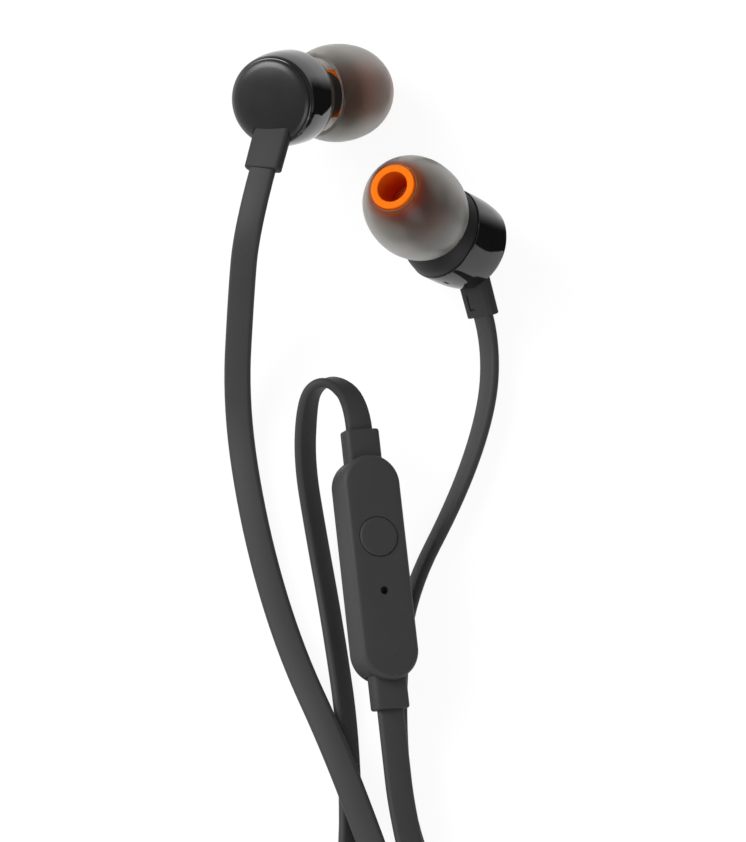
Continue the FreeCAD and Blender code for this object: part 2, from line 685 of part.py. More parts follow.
def remote():
    """The in-line remote with its button, microphone and two strain reliefs."""

    def start(name):
        body = body_of(f"remote_{name}")
        body.Placement = REMOTE
        return body

    half = s.remote_thickness * 0.5
    inner_width = s.remote_width - s.remote_wall * 2
    inner_length = s.remote_length - s.remote_wall * 2
    slot_start = s.end_relief_inner
    slot_reach = s.remote_length * 0.5 - slot_start + 1

    def shell(name, up):
        body = start(name)
        pad(body, stadium(sketch_in(body), s.remote_width, s.remote_length), half, reverse=not up)
        level = half.value if up else -half.value
        fillet(body, s.remote_round, lambda edge: lies_at(edge, Z_AXIS, level))
        sketch = stadium(sketch_in(body), inner_width, inner_length)
        pocket(body, sketch, half - s.remote_wall, along=up)
        for end in (1, -1):
            sketch = sketch_in(body)
            middle = (slot_start + slot_reach * 0.5) * end
            rectangle(sketch, s.end_relief_width + s.end_relief_gap * 2, slot_reach, 0, middle)
            pocket(body, sketch, s.end_relief_thickness * 0.5 + s.end_relief_gap, along=up)
        return body

    body = shell("front", True)
    hole = sketch_in(body, "XY_Plane", (0, 0, half))
    circle(hole, s.button_radius + s.button_gap, 0, s.button_place)
    pocket(body, hole, s.remote_wall * 2)
    hole = sketch_in(body, "XY_Plane", (0, 0, half))
    circle(hole, s.mic_radius, 0, -s.mic_place)
    pocket(body, hole, s.remote_wall * 2)

    shell("back", False)

    board_top = -s.circuit_drop
    body = start("board")
    sketch = sketch_in(body, "XY_Plane", (0, 0, board_top - s.circuit_thickness))
    pad(body, rectangle(sketch, s.circuit_width, s.circuit_length), s.circuit_thickness)

    flange_top = half - s.remote_wall - s.button_travel_gap
    body = start("button")
    sketch = sketch_in(body, "XY_Plane", (0, 0, flange_top - s.button_flange_height))
    circle(sketch, s.button_radius + s.button_flange, 0, s.button_place)
    pad(body, sketch, s.button_flange_height)
    sketch = sketch_in(body, "XY_Plane", (0, 0, flange_top))
    circle(sketch, s.button_radius, 0, s.button_place)
    pad(body, sketch, half + s.button_proud - flange_top)

    switch_top = flange_top - s.button_flange_height - s.switch_gap
    body = start("switch")
    sketch = sketch_in(body, "XY_Plane", (0, 0, board_top))
    rectangle(sketch, s.switch_side, s.switch_side, 0, s.button_place)
    pad(body, sketch, (switch_top - board_top) * 0.75)
    sketch = sketch_in(body, "XY_Plane", (0, 0, board_top))
    circle(sketch, s.switch_side * 0.25, 0, s.button_place)
    pad(body, sketch, switch_top - board_top)

    body = start("microphone")
    sketch = sketch_in(body, "XY_Plane", (0, 0, board_top))
    circle(sketch, s.capsule_radius, 0, -s.mic_place)
    pad(body, sketch, half - s.remote_wall - s.capsule_gap - board_top)

    for name, end in (("upper", 1), ("lower", -1)):
        body = start(f"{name}_relief")
        level = s.end_relief_inner * end
        sketch = sketch_in(body, "XZ_Plane", (0, 0, -level))
        rectangle(sketch, s.end_relief_width, s.end_relief_thickness)
        pad(body, sketch, s.end_relief_reach - s.end_relief_inner, reverse=end > 0)
        fillet(body, s.relief_round, lambda edge: runs_along(edge, Y_AXIS))


remote()


def splitter():
    """The moulding that joins both branches to the main cord, tapered towards the main cord."""
    body = body_of("splitter")
    body.Placement = Placement(Vector(s.splitter_x.value, s.splitter_y.value, s.splitter_z.value) - ORIGIN, Rotation())
    wide = s.splitter_wide * 0.5
    narrow = s.splitter_narrow * 0.5
    shoulder = -s.splitter_length * 0.45
    sketch = sketch_in(body, "XY_Plane", (0, 0, -s.splitter_thickness * 0.5))
    polygon(sketch, [
        (-wide, 0), (-wide, shoulder), (-narrow, -s.splitter_length), (narrow, -s.splitter_length), (wide, shoulder), (wide, 0),
    ])
    pad(body, sketch, s.splitter_thickness)
    top = s.splitter_thickness.value * 0.5
    fillet(body, s.splitter_round, lambda edge: lies_at(edge, Z_AXIS, top))


splitter()


# Plug: turned pieces along their own z, which points to the pin's tip.
PLUG = square_frame((s.plug_x.value, s.plug_y.value, s.plug_z.value), (0, 1, 0), (0, 0, 1))


def plug():
    """A straight four-pole plug: contacts and insulating bands stacked along the pin."""

    def start(name):
        body = body_of(f"plug_{name}")
        body.Placement = PLUG
        return body

    grip_start = s.plug_relief_length
    grip_end = grip_start + s.grip_length
    pin = s.pin_radius

    body = start("relief")
    revolve(body, [
        (0, 0), (s.plug_relief_radius * 0.86, 0), (s.plug_relief_radius, grip_start), (0, grip_start),
    ])

    body = start("grip")
    edge = s.grip_round
    slim = s.pin_root_radius
    bore = slim + s.fit_gap
    root = grip_end - s.pin_root
    shoulder = grip_end + s.pin_undercut
    revolve(body, [
        (0, grip_start), (s.grip_radius - edge * 1.5, grip_start), (s.grip_radius, grip_start + edge * 2),
        (s.grip_radius, grip_end - edge), (s.grip_radius - edge, grip_end), (bore, grip_end), (bore, root), (0, root),
    ])

    body = start("sleeve")
    level = grip_end + s.pin_sleeve_length
    revolve(body, [(0, root), (slim, root), (slim, shoulder), (pin, shoulder), (pin, level), (0, level)])
    for count, name in enumerate(("ring_2", "ring_1")):
        body = start(f"band_{3 - count}")
        revolve(body, [(0, level), (pin, level), (pin, level + s.pin_band), (0, level + s.pin_band)])
        level = level + s.pin_band
        body = start(name)
        revolve(body, [(0, level), (pin, level), (pin, level + s.pin_ring_length), (0, level + s.pin_ring_length)])
        level = level + s.pin_ring_length
    body = start("band_1")
    revolve(body, [(0, level), (pin, level), (pin, level + s.pin_band), (0, level + s.pin_band)])
    level = level + s.pin_band
    body = start("tip")
    end = level + s.pin_tip_length
    revolve(body, [
        (0, level), (pin, level), (pin, level + s.pin_band), (s.pin_neck_radius, level + s.pin_tip_length * 0.35),
        (pin, level + s.pin_tip_length * 0.6), (pin * 0.45, end), (0, end),
    ])


plug()


def ribbon_section(centre, tangent, across):
    """The flat cord's outline, square to the tangent, with its broad side along across."""
    t = Vector(tangent).normalize()
    a = Vector(across) - t * t.dot(Vector(across))
    a.normalize()
    n = t.cross(a)
    reach = (s.cord_width.value - s.cord_thickness.value) / 2
    r = s.cord_thickness.value / 2
    p1 = centre + a * reach + n * r
    p2 = centre + a * (reach + r)
    p3 = centre + a * reach - n * r
    p4 = centre - a * reach - n * r
    p5 = centre - a * (reach + r)
    p6 = centre - a * reach + n * r
    edges = [
        Part.Arc(p1, p2, p3).toShape(), Part.LineSegment(p3, p4).toShape(), Part.Arc(p4, p5, p6).toShape(),
        Part.LineSegment(p6, p1).toShape(),
    ]
    return Part.Wire(edges)


def sweep(edges, across):
    """The solid of the flat cord along a tangent chain of lines and arcs."""
    path = Part.Wire(edges)
    first = edges[0]
    start = first.valueAt(first.FirstParameter)
    tangent = first.tangentAt(first.FirstParameter)
    shell = Part.BRepOffsetAPI.MakePipeShell(path)
    shell.add(ribbon_section(start, tangent, across))
    shell.build()
    shell.makeSolid()
    solid = shell.shape()
    return solid if solid.Volume > 0 else solid.reversed()


def ribbon_area():
    t = s.cord_thickness.value
    return (s.cord_width.value - t) * t + math.pi * t * t / 4


def cord_node(name, edges, across):
    """A free or wound stretch of the cord as a feature of its own."""
    solid = sweep(edges, across)
    length = sum(edge.Length for edge in edges)
    feature = doc.addObject("Part::Feature", name)
    feature.Label = name
    feature.Shape = solid
    feature.Placement = Placement(-ORIGIN, Rotation())
    NODES.append(feature)
    share = solid.Volume / (ribbon_area() * length)
    print(f"{name}: length {length:.1f}, volume against section x length {share:.4f}, lowest {solid.optimalBoundingBox(False).ZMin:.2f}")
    return length


def rounded_route(name, points):
    """Straight runs joined by arcs whose radius is 0.45 of the shorter run over tan(half turn)."""
    points = [Vector(*p) for p in points]
    edges = []
    radii = []
    last = points[0]
    for before, here, after in zip(points, points[1:], points[2:]):
        back = (before - here).normalize()
        ahead = (after - here).normalize()
        trim = 0.45 * min((before - here).Length, (after - here).Length)
        half_turn = (math.pi - back.getAngle(ahead)) / 2
        radius = trim / math.tan(half_turn)
        start = here + back * trim
        end = here + ahead * trim
        middle = (back + ahead).normalize()
        centre = here + middle * math.hypot(trim, radius)
        edges.append(Part.LineSegment(last, start).toShape())
        edges.append(Part.Arc(start, centre - middle * radius, end).toShape())
        radii.append(radius)
        last = end
    edges.append(Part.LineSegment(last, points[-1]).toShape())
    print(f"{name} radii:", " ".join(f"{r:.0f}" for r in radii))
    return edges


def relief_mouth(side):
    """The end of an earpiece's strain relief, the way out of it and the way across it."""
    sign, place = EARPIECES[side]
    lean = math.radians(s.relief_lean.value)
    out = Vector(0, math.cos(lean), -math.sin(lean))
    point = Vector(s.relief_side.value * sign, 0, -s.relief_pivot.value) + out * s.relief_end.value
    turn = place.Rotation
    return place.multVec(point) + ORIGIN, turn.multVec(out), turn.multVec(X_AXIS)


def remote_mouth(end):
    """The end of a strain relief of the remote and the way out of it."""
    out = Y_AXIS * end
    point = out * s.end_relief_reach.value
    return REMOTE.multVec(point) + ORIGIN, REMOTE.Rotation.multVec(out), REMOTE.Rotation.multVec(X_AXIS)


# The left branch: off the earpiece, down to the surface, over the right branch, once round on
# top of the hank and down to the splitter.
LEFT_ROUTE = [
    (-15.5, -18.5, 10.0), (-16.36, -30.0, 1.6), (-13.9, -45.5, 1.3), (-9.7, -60.0, 1.4), (-3.96, -73.0, 4.6),
    (1.6, -88.0, 4.8), (6.5, -102.0, 5.6), (8.9, -117.0, 8.9), (9.3, -133.0, 9.3), (9.9, -151.0, 9.3), (9.7, -166.0, 9.3),
    (3.7, -172.2, 9.3), (-4.8, -172.4, 9.3), (-10.7, -166.2, 9.3), (-11.0, -151.0, 9.3), (-10.6, -135.0, 9.5),
    (-6.8, -124.5, 10.4), (2.6, -119.0, 11.6), (12.0, -122.0, 11.2), (16.2, -131.5, 8.2),
]
# The right branch above the remote: off the earpiece, under the remote, round a turn beyond it,
# back under the left branch and over an arch into the remote.
RIGHT_ROUTE = [
    (14.22, -30.2, 1.7), (10.9, -41.0, 1.7), (4.45, -53.8, 1.7), (3.0, -67.0, 1.7), (4.0, -82.5, 1.7), (11.0, -97.2, 1.7),
    (11.1, -105.8, 1.7), (4.9, -112.0, 1.7), (-3.8, -112.1, 1.7), (-9.9, -105.8, 1.7), (-9.6, -97.2, 1.7),
    (-2.47, -84.5, 1.7), (-2.36, -71.5, 1.7), (-4.4, -57.5, 1.8), (-6.5, -46.0, 2.2), (-7.86, -38.2, 5.6),
    (-7.55, -32.25, 9.2), (-6.65, -30.0, 10.6), (-4.4, -29.45, 11.1),
]
# The right branch between the remote and the splitter.
LOWER_ROUTE = [
    (3.8, -80.5, 5.2), (6.7, -93.0, 4.9), (13.0, -106.0, 3.6), (18.6, -119.0, 1.7), (19.2, -134.0, 1.5),
]


def branches():
    """The three free stretches between earpieces, remote and splitter."""
    lengths = {}
    gap = s.splitter_wide.value / 4 - 0.05
    entry_y = s.splitter_y.value
    entry_z = s.splitter_z.value
    point, out, across = relief_mouth("left")
    end = Vector(s.splitter_x.value - gap, entry_y, entry_z)
    route = [point, point + out * 8.0] + LEFT_ROUTE + [end + Vector(0, s.splitter_lead.value, 0), end]
    lengths["left"] = cord_node("cord_left", rounded_route("cord_left", route), across)
    point, out, across = relief_mouth("right")
    end, back, _ = remote_mouth(1)
    route = [point, point + out * 5.0] + RIGHT_ROUTE + [end + back * 3.7, end]
    lengths["right upper"] = cord_node("cord_right_upper", rounded_route("cord_right_upper", route), across)
    point, out, across = remote_mouth(-1)
    end = Vector(s.splitter_x.value + gap, entry_y, entry_z)
    route = [point, point + out * 5.0] + LOWER_ROUTE + [end + Vector(0, s.splitter_lead.value, 0), end]
    lengths["right lower"] = cord_node("cord_right_lower", rounded_route("cord_right_lower", route), across)
    return lengths


def biarc(p0, t0, p1, t1):
    """Two arcs that leave p0 along t0, meet smoothly and reach p1 along t1."""
    chord = p1 - p0
    both = t0 + t1
    square = 2 * (1 - t0.dot(t1))
    if square < 1e-9:
        lead = chord.dot(chord) / (4 * chord.dot(t1))
    else:
        lead = (-chord.dot(both) + math.sqrt(chord.dot(both) ** 2 + square * chord.dot(chord))) / square
    joint = (p0 + p1 + (t0 - t1) * lead) * 0.5
    return [arc_from(p0, t0, joint), arc_from(joint, (joint - p0 - t0 * lead).normalize(), p1)]


def arc_from(start, tangent, end):
    """The arc, or the line, from a point along a tangent to another point."""
    chord = end - start
    side = tangent.cross(chord)
    if side.Length < 1e-7 * chord.Length:
        return Part.LineSegment(start, end).toShape()
    inward = chord - tangent * tangent.dot(chord)
    inward.normalize()
    radius = chord.dot(chord) / (2 * chord.dot(inward))
    centre = start + inward * radius
    middle = ((start - centre).normalize() + (end - centre).normalize())
    if tangent.dot(chord) <= 1e-9 * chord.Length:
        middle = tangent * 1.0
    return Part.Arc(start, centre + middle.normalize() * radius, end).toShape()


def hank_nodes():
    """Points and directions along the hank: five half turns inwards, a climb, four outwards."""
    radius = s.hank_radius.value
    pitch = s.hank_pitch.value
    run = s.hank_run.value / 2
    low = s.tie_thickness.value + s.tie_gap.value + s.cord_width.value / 2
    high = low + s.hank_layer.value
    nodes = []

    def add(x, y, z, tx, ty, tz=0.0):
        place = Vector(s.hank_x.value + x, s.hank_y.value + y, z)
        nodes.append((place, Vector(tx, ty, tz).normalize()))

    def half_turn(start_x, end_x, z, down):
        """Half a turn clockwise about the bottom or the top."""
        r = abs(end_x - start_x) / 2
        middle = (start_x + end_x) / 2
        sign = -1 if down else 1
        add(start_x, sign * run, z, 0, sign)
        add(middle, sign * (run + r), z, sign, 0)
        add(end_x, sign * run, z, 0, -sign)

    def waist(x, z, up, climb=0.0):
        """The middle of a run, drawn in towards the hank's centre line."""
        inner = x - math.copysign(s.hank_waist.value, x)
        add(inner, 0, z, 0, up, climb)

    x = radius
    z = low
    for count in range(9):
        down = count % 2 == 0
        if count < 5:
            step = 0 if down else pitch
            end = -(abs(x) - step) if x > 0 else abs(x) - step
        else:
            step = 0 if down else pitch
            end = -(abs(x) + step) if x > 0 else abs(x) + step
        half_turn(x, end, z, down)
        x = end
        if count == 4:
            waist(x, (low + high) / 2, 1, 2 * (high - low) / s.hank_run.value)
            z = high
        elif count < 8:
            waist(x, z, 1 if down else -1)
    return nodes


def hank():
    """The main cord: from the splitter into the hank, and the last stretch to the plug."""
    nodes = hank_nodes()
    first, _ = nodes[0]
    exit_point = Vector(s.splitter_x.value, s.splitter_y.value - s.splitter_length.value, s.splitter_z.value)
    down = Vector(0, -1, 0)
    lead = [(exit_point, down), (exit_point + down * 3.0, down)]
    chain = lead + nodes
    edges = []
    for (p0, t0), (p1, t1) in zip(chain, chain[1:]):
        if abs(t0.dot((p1 - p0).normalize()) - 1) < 1e-9 and t0.dot(t1) > 1 - 1e-9:
            edges.append(Part.LineSegment(p0, p1).toShape())
        else:
            edges.extend(biarc(p0, t0, p1, t1))
    last, way = nodes[-1]
    tail_start = last + way * 3.0
    edges.append(Part.LineSegment(last, tail_start).toShape())
    length = cord_node("hank", edges, Z_AXIS)
    print(f"hank: least gap to itself {least_gap(edges):.2f}")
    plug_end = Vector(s.plug_x.value, s.plug_y.value, s.plug_z.value)
    route = [tail_start, tail_start + way * 5.0, plug_end - way * 5.0, plug_end]
    tail = cord_node("cord_tail", rounded_route("cord_tail", route), Z_AXIS)
    return length, tail


def least_gap(edges):
    """The least room between turns, from points along the cord that stands on its edge."""
    points = []
    length = 0.0
    for edge in edges:
        count = max(2, int(edge.Length / 1.0))
        low, high = edge.FirstParameter, edge.LastParameter
        for k in range(count):
            points.append((length + edge.Length * k / count, edge.valueAt(low + (high - low) * k / count)))
        length += edge.Length
    best = 99.0
    for i, (at, p) in enumerate(points):
        for far, q in points[i + 1:]:
            if far - at < 20:
                continue
            beside = math.hypot(p.x - q.x, p.y - q.y) - s.cord_thickness.value
            above = abs(p.z - q.z) - s.cord_width.value
            best = min(best, max(beside, above))
    return best


def tie():
    """A band round the hank's waist."""
    body = body_of("tie")
    place = Vector(s.hank_x.value, s.hank_y.value + s.tie_width.value / 2, 0)
    body.Placement = Placement(place - ORIGIN, Rotation())
    inner_half = s.hank_radius - s.hank_waist + s.cord_thickness * 0.5 + s.tie_gap
    inner_high = s.tie_thickness + s.tie_gap * 2 + s.cord_width + s.hank_layer
    sketch = sketch_in(body, "XZ_Plane")
    outer = inner_half + s.tie_thickness
    polygon(sketch, [(-outer, 0), (outer, 0), (outer, inner_high + s.tie_thickness), (-outer, inner_high + s.tie_thickness)])
    polygon(sketch, [
        (-inner_half, s.tie_thickness), (inner_half, s.tie_thickness), (inner_half, inner_high), (-inner_half, inner_high),
    ])
    pad(body, sketch, s.tie_width)
    fillet(body, s.tie_thickness, lambda edge: runs_along(edge, Y_AXIS) and abs(abs(edge.Vertexes[0].X) - outer.value) < 1e-3)


lengths = branches()
main_length, tail_length = hank()
tie()
left = lengths["left"]
right = lengths["right upper"] + lengths["right lower"] + 2 * s.end_relief_reach.value
print(f"left branch {left:.0f}, right branch {right:.0f}, main cord {main_length + tail_length:.0f}")

doc.recompute()
for item in doc.Objects:
    if "Invalid" in item.State or "Error" in item.State:
        raise RuntimeError(f"{item.Name} failed: {item.State}")
for node in NODES:
    shape = node.Shape
    if shape.isNull() or not shape.isValid() or len(shape.Solids) != 1:
        raise RuntimeError(f"{node.Label}: null, invalid or {len(shape.Solids)} solids")

os.makedirs("parts", exist_ok=True)
for node in NODES:
    node.Shape.exportStep(f"parts/{node.Label}.step")

box = FreeCAD.BoundBox()
for node in NODES:
    if node.Label.startswith(("left_", "right_")):
        box.add(node.Shape.optimalBoundingBox(False))
print(f"{len(NODES)} pieces; earpieces' box x {box.XMin:.3f} {box.XMax:.3f} y {box.YMin:.3f} {box.YMax:.3f} z {box.ZMin:.3f} {box.ZMax:.3f}")
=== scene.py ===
import math

import bmesh
import bpy
from mathutils import Matrix, Vector

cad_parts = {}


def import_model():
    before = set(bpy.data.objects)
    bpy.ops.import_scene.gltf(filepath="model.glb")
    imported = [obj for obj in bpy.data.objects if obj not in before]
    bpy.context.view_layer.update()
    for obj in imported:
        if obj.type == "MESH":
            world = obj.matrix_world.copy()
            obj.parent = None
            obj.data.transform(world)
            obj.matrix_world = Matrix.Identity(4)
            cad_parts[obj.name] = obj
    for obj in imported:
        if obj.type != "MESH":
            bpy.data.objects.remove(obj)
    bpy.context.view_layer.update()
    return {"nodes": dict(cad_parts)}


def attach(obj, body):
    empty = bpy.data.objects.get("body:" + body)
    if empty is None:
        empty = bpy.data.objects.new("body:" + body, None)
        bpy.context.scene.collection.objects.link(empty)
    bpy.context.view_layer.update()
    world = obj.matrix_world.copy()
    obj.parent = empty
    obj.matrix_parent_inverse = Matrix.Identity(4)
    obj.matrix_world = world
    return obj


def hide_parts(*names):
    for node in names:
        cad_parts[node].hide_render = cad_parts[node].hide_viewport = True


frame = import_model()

# Wired in-ear earphones: two earpieces with ear tips, a flat cord with an in-line remote, a
# splitter, a tied hank and a plug. The layout is in millimetres and degrees, as in the source;
# ORIGIN is the part's origin in it.
ORIGIN = Vector((0.08, -2.51, 0.0))
MM = 0.001

# An earpiece's own frame has z towards the ear, with 0 at the seam of barrel and front.
NOZZLE_BEND = 18.8
BARREL_RADIUS = 5.76
RELIEF_LEAN = 31.0          # of the strain relief, towards the cap
RELIEF_EXIT = 6.98          # how far behind the seam its middle line passes the barrel's radius
RELIEF_ASIDE = 0.3
RELIEF_END = 9.36           # where the cord leaves it, along its own z
LEFT_TWIST, RIGHT_TWIST = 3.0, 7.8

REMOTE_CENTRE = Vector((0.61, -51.95, 8.30))
REMOTE_UP = Vector((-0.1101, 0.9891, 0.0981))
REMOTE_FACE = Vector((0.3402, -0.0553, 0.9387))
BOOT_END = 16.8             # of the remote's two boots, from its centre

SPLITTER_TOP = (17.2, -150.0, 2.1)
SPLITTER_FOOT = (17.2, -162.0, 2.1)
HANK_MIDDLE = -158.0
PLUG_FOOT = (-16.3, -166.0, 2.95)


def at(x, y, z):
    """A place of the layout as metres in the frame."""
    return (Vector((x, y, z)) - ORIGIN) * MM


def level_frame(base):
    """The frame at a place of the layout, not turned, millimetres in it."""
    return Matrix.Translation(at(*base)) @ Matrix.Scale(MM, 4)


def square_frame(base, along, towards):
    """The frame with z along one direction and y as near as can be to another, millimetres in it."""
    z = Vector(along).normalized()
    y = Vector(towards)
    y = (y - z * z.dot(y)).normalized()
    turn = Matrix((y.cross(z), y, z)).transposed().to_4x4()
    return Matrix.Translation(at(*base)) @ turn @ Matrix.Scale(MM, 4)


def rotation(angle, axis):
    """A turn by degrees about an axis."""
    return Matrix.Rotation(math.radians(angle), 4, axis)


LEFT = square_frame((-9.53, 5.74, 12.90), (0.3862, 0.3885, -0.8366), (-0.0414, -0.8988, -0.4365))
RIGHT = square_frame((8.91, -10.16, 8.39), (-0.6723, 0.1022, 0.7332), (-0.1068, -0.9935, 0.0405))
REMOTE = square_frame(REMOTE_CENTRE, REMOTE_FACE, REMOTE_UP)
PLUG = square_frame(PLUG_FOOT, (0, 1, 0), (0, 0, 1))


def nozzle_frame(sign):
    """The bent nozzle's frame in its earpiece; sign is 1 for the left one and -1 for the right one."""
    return rotation(NOZZLE_BEND * sign, "Y")


def relief_frame(sign):
    """The strain relief's frame in its earpiece: z along it, to one side, twisted by its cord."""
    pivot = RELIEF_EXIT - BARREL_RADIUS * math.tan(math.radians(RELIEF_LEAN))
    twist = rotation(LEFT_TWIST if sign > 0 else RIGHT_TWIST, "Z")
    return Matrix.Translation((RELIEF_ASIDE * sign, 0, -pivot)) @ rotation(-90 - RELIEF_LEAN, "X") @ twist


# ------------------------------------------------------------------------------- camera

def camera():
    """The photograph's view: 75 degrees above the surface, 500 mm from the earphones."""
    data = bpy.data.cameras.new("camera")
    data.sensor_fit = "AUTO"
    data.sensor_width = 36.0
    data.lens = 175.30
    data.clip_start = 0.01
    data.clip_end = 20.0
    obj = bpy.data.objects.new("camera", data)
    bpy.context.scene.collection.objects.link(obj)
    rise, distance = math.radians(75.0), 0.5
    back = Vector((0, -math.cos(rise), math.sin(rise)))
    obj.location = at(0.4, -31.5, 0) + back * distance
    obj.rotation_euler = back.to_track_quat("Z", "Y").to_euler()
    bpy.context.scene.camera = obj


camera()


# ------------------------------------------------------------------------------- the cords' ways

CORD_WIDTH = 3.3
CORD_THICK = 1.2


def read_route(rows):
    """The points along the NURBS curve that has these rows as its control points."""
    data = bpy.data.curves.new("route", "CURVE")
    data.dimensions = "3D"
    spline = data.splines.new("NURBS")
    spline.points.add(len(rows) - 1)
    for point, row in zip(spline.points, rows):
        point.co = (*row, 1.0)
    spline.order_u = 3
    spline.use_endpoint_u = True
    spline.resolution_u = 8
    obj = bpy.data.objects.new("route", data)
    bpy.context.scene.collection.objects.link(obj)
    mesh = bpy.data.meshes.new_from_object(obj)
    points = [v.co.copy() for v in mesh.vertices]
    bpy.data.objects.remove(obj)
    bpy.data.curves.remove(data)
    bpy.data.meshes.remove(mesh)
    return points


def ribbon(route):
    """A flat cord along (x, y, z, roll) points of the layout, and the points it follows."""
    path = read_route([at(*row[:3]) for row in route])
    rolls = read_route([(row[3], 0, 0) for row in route])
    segments = 20
    bm = bmesh.new()
    ring = bmesh.ops.create_circle(bm, segments=segments, radius=CORD_THICK / 2 * MM)["verts"]
    bmesh.ops.rotate(bm, verts=ring, matrix=Matrix.Rotation(math.pi / segments, 3, "Z"))
    for v in ring:
        v.co.x += math.copysign((CORD_WIDTH - CORD_THICK) / 2 * MM, v.co.x)
    edges = bm.edges[:]
    last = Matrix.Identity(4)
    for k, (place, roll) in enumerate(zip(path, rolls)):
        tangent = (path[min(k + 1, len(path) - 1)] - path[max(k - 1, 0)]).normalized()
        flat = tangent.cross(Vector((0, 0, 1))).normalized()
        angle = math.radians(roll.x)
        across = flat * math.cos(angle) + flat.cross(tangent) * math.sin(angle)
        here = Matrix((across, tangent.cross(across), tangent)).transposed().to_4x4()
        here.translation = place
        if k:
            made = bmesh.ops.extrude_edge_only(bm, edges=edges)["geom"]
            ring = [g for g in made if isinstance(g, bmesh.types.BMVert)]
            edges = [g for g in made if isinstance(g, bmesh.types.BMEdge)]
        bmesh.ops.transform(bm, matrix=here @ last.inverted(), verts=ring)
        last = here
    bmesh.ops.holes_fill(bm, edges=[e for e in bm.edges if e.is_boundary], sides=2 * segments)
    bmesh.ops.recalc_face_normals(bm, faces=bm.faces)
    return bm, path


def mouth(relief):
    """The end of an earpiece's strain relief and the way out of it, in the layout."""
    end = (relief @ Vector((0, 0, RELIEF_END))) / MM + ORIGIN
    return end, (relief.to_3x3() @ Vector((0, 0, 1))).normalized()


LEFT_MOUTH, LEFT_OUT = mouth(LEFT @ relief_frame(1))
RIGHT_MOUTH, RIGHT_OUT = mouth(RIGHT @ relief_frame(-1))
UPPER_MOUTH = REMOTE_CENTRE + REMOTE_UP * BOOT_END
LOWER_MOUTH = REMOTE_CENTRE - REMOTE_UP * BOOT_END

# Each row is x, y, z and the roll of the flat side.
LEFT_ROUTE = [
    (*LEFT_MOUTH, -17.5), (*(LEFT_MOUTH + LEFT_OUT * 8.0), -14.5),
    (-15.5, -18.5, 10.0, -13), (-16.36, -30.0, 1.6, -15), (-13.9, -45.5, 1.3, -10), (-9.7, -60.0, 1.4, -4),
    (-3.96, -73.0, 4.6, -4), (1.6, -88.0, 4.8, -6), (6.5, -102.0, 5.6, -12), (8.9, -117.0, 8.9, -15),
    (9.3, -133.0, 9.3, -15), (9.9, -151.0, 9.3, -15), (9.7, -166.0, 9.3, -15), (3.7, -172.2, 9.3, -20),
    (-4.8, -172.4, 9.3, -20), (-10.7, -166.2, 9.3, -15), (-11.0, -151.0, 9.3, -15), (-10.6, -135.0, 9.5, -15),
    (-6.8, -124.5, 10.4, -15), (2.6, -119.0, 11.6, -20), (12.0, -122.0, 11.2, -40), (16.2, -131.5, 8.2, -70),
    (15.5, -143.5, 2.1, -90), (15.5, -150.0, 2.1, -90),
]
RIGHT_ROUTE = [
    (*RIGHT_MOUTH, -60), (*(RIGHT_MOUTH + RIGHT_OUT * 3.5), -60),
    (14.4, -30.2, 1.7, -58), (10.9, -41.0, 1.7, -61), (4.4, -53.8, 1.7, -66), (3.0, -67.0, 1.7, -55),
    (4.0, -82.5, 1.7, -45), (11.0, -97.2, 1.7, -45), (11.1, -105.8, 1.7, -50), (4.9, -112.0, 1.7, -55),
    (-3.8, -112.1, 1.7, -55), (-9.9, -105.8, 1.7, -50), (-8.6, -100.0, 1.7, -45), (-2.2, -90.0, 1.7, -41),
    (-2.36, -71.5, 1.7, -46), (-4.4, -57.5, 1.8, -47), (-6.5, -46.0, 2.2, -46.5), (-7.86, -38.2, 5.6, -48),
    (-7.55, -32.25, 9.2, -52), (-6.65, -30.0, 10.6, -80), (-4.4, -29.45, 11.1, -121),
    (*(UPPER_MOUTH + REMOTE_UP * 3.7), -153), (*UPPER_MOUTH, -160.7),
]
LOWER_ROUTE = [
    (*LOWER_MOUTH, 17), (*(LOWER_MOUTH - REMOTE_UP * 5.0), 18), (3.8, -80.5, 5.2, 17), (6.7, -93.0, 4.9, 17),
    (13.0, -106.0, 3.6, 10), (18.6, -119.0, 1.7, 0), (19.2, -134.0, 1.5, -40), (18.9, -143.5, 2.1, -90),
    (18.9, -150.0, 2.1, -90),
]


def hank_route():
    """The main cord on its edge: out of the splitter, nine half turns in two layers, to the plug."""
    low, high = 2.15, 5.65
    half_turns, first_of_upper = 9, 5
    spacing = 2.0           # from one turn to the next
    waist = 3.0             # how far the tie draws the sides in
    straight = 30.0         # from the middle to where a turn begins
    bite = 22.5             # half the angle between a turn's control points
    rows = [SPLITTER_FOOT, (17.2, -167.0, 2.1), (16.4, -173.5, 2.1), (13.6, -179.5, low)]
    x, z = 13.2, low
    for count in range(half_turns):
        down = count % 2 == 0
        step = 0.0 if down else (spacing if count < first_of_upper else -spacing)
        end = -math.copysign(abs(x) - step, x)
        radius = abs(end - x) / 2
        middle = (end + x) / 2
        side = -1 if down else 1
        reach = radius / math.cos(math.radians(bite))
        for k in range(4):
            angle = math.radians(bite + 2 * bite * k)
            rows.append((
                middle + math.copysign(reach, x) * math.cos(angle),
                HANK_MIDDLE + side * (straight + reach * math.sin(angle)),
                z,
            ))
        x = end
        if count == half_turns - 1:
            break
        inner = x - math.copysign(waist, x)
        climb = high - low if count == first_of_upper - 1 else 0.0
        for across, share, rise in ((x, 23.5, 0.0), (inner, 7.5, 0.25), (inner, -7.5, 0.75), (x, -23.5, 1.0)):
            rows.append((across, HANK_MIDDLE + side * share, z + climb * rise))
        z += climb
    rows += [(-13.2, -184.5, high), (-13.2, -180.0, high), (-16.3, -171.0, 2.95), PLUG_FOOT]
    return [(*row, 90.0) for row in rows]


# ------------------------------------------------------------------------------- shader groups

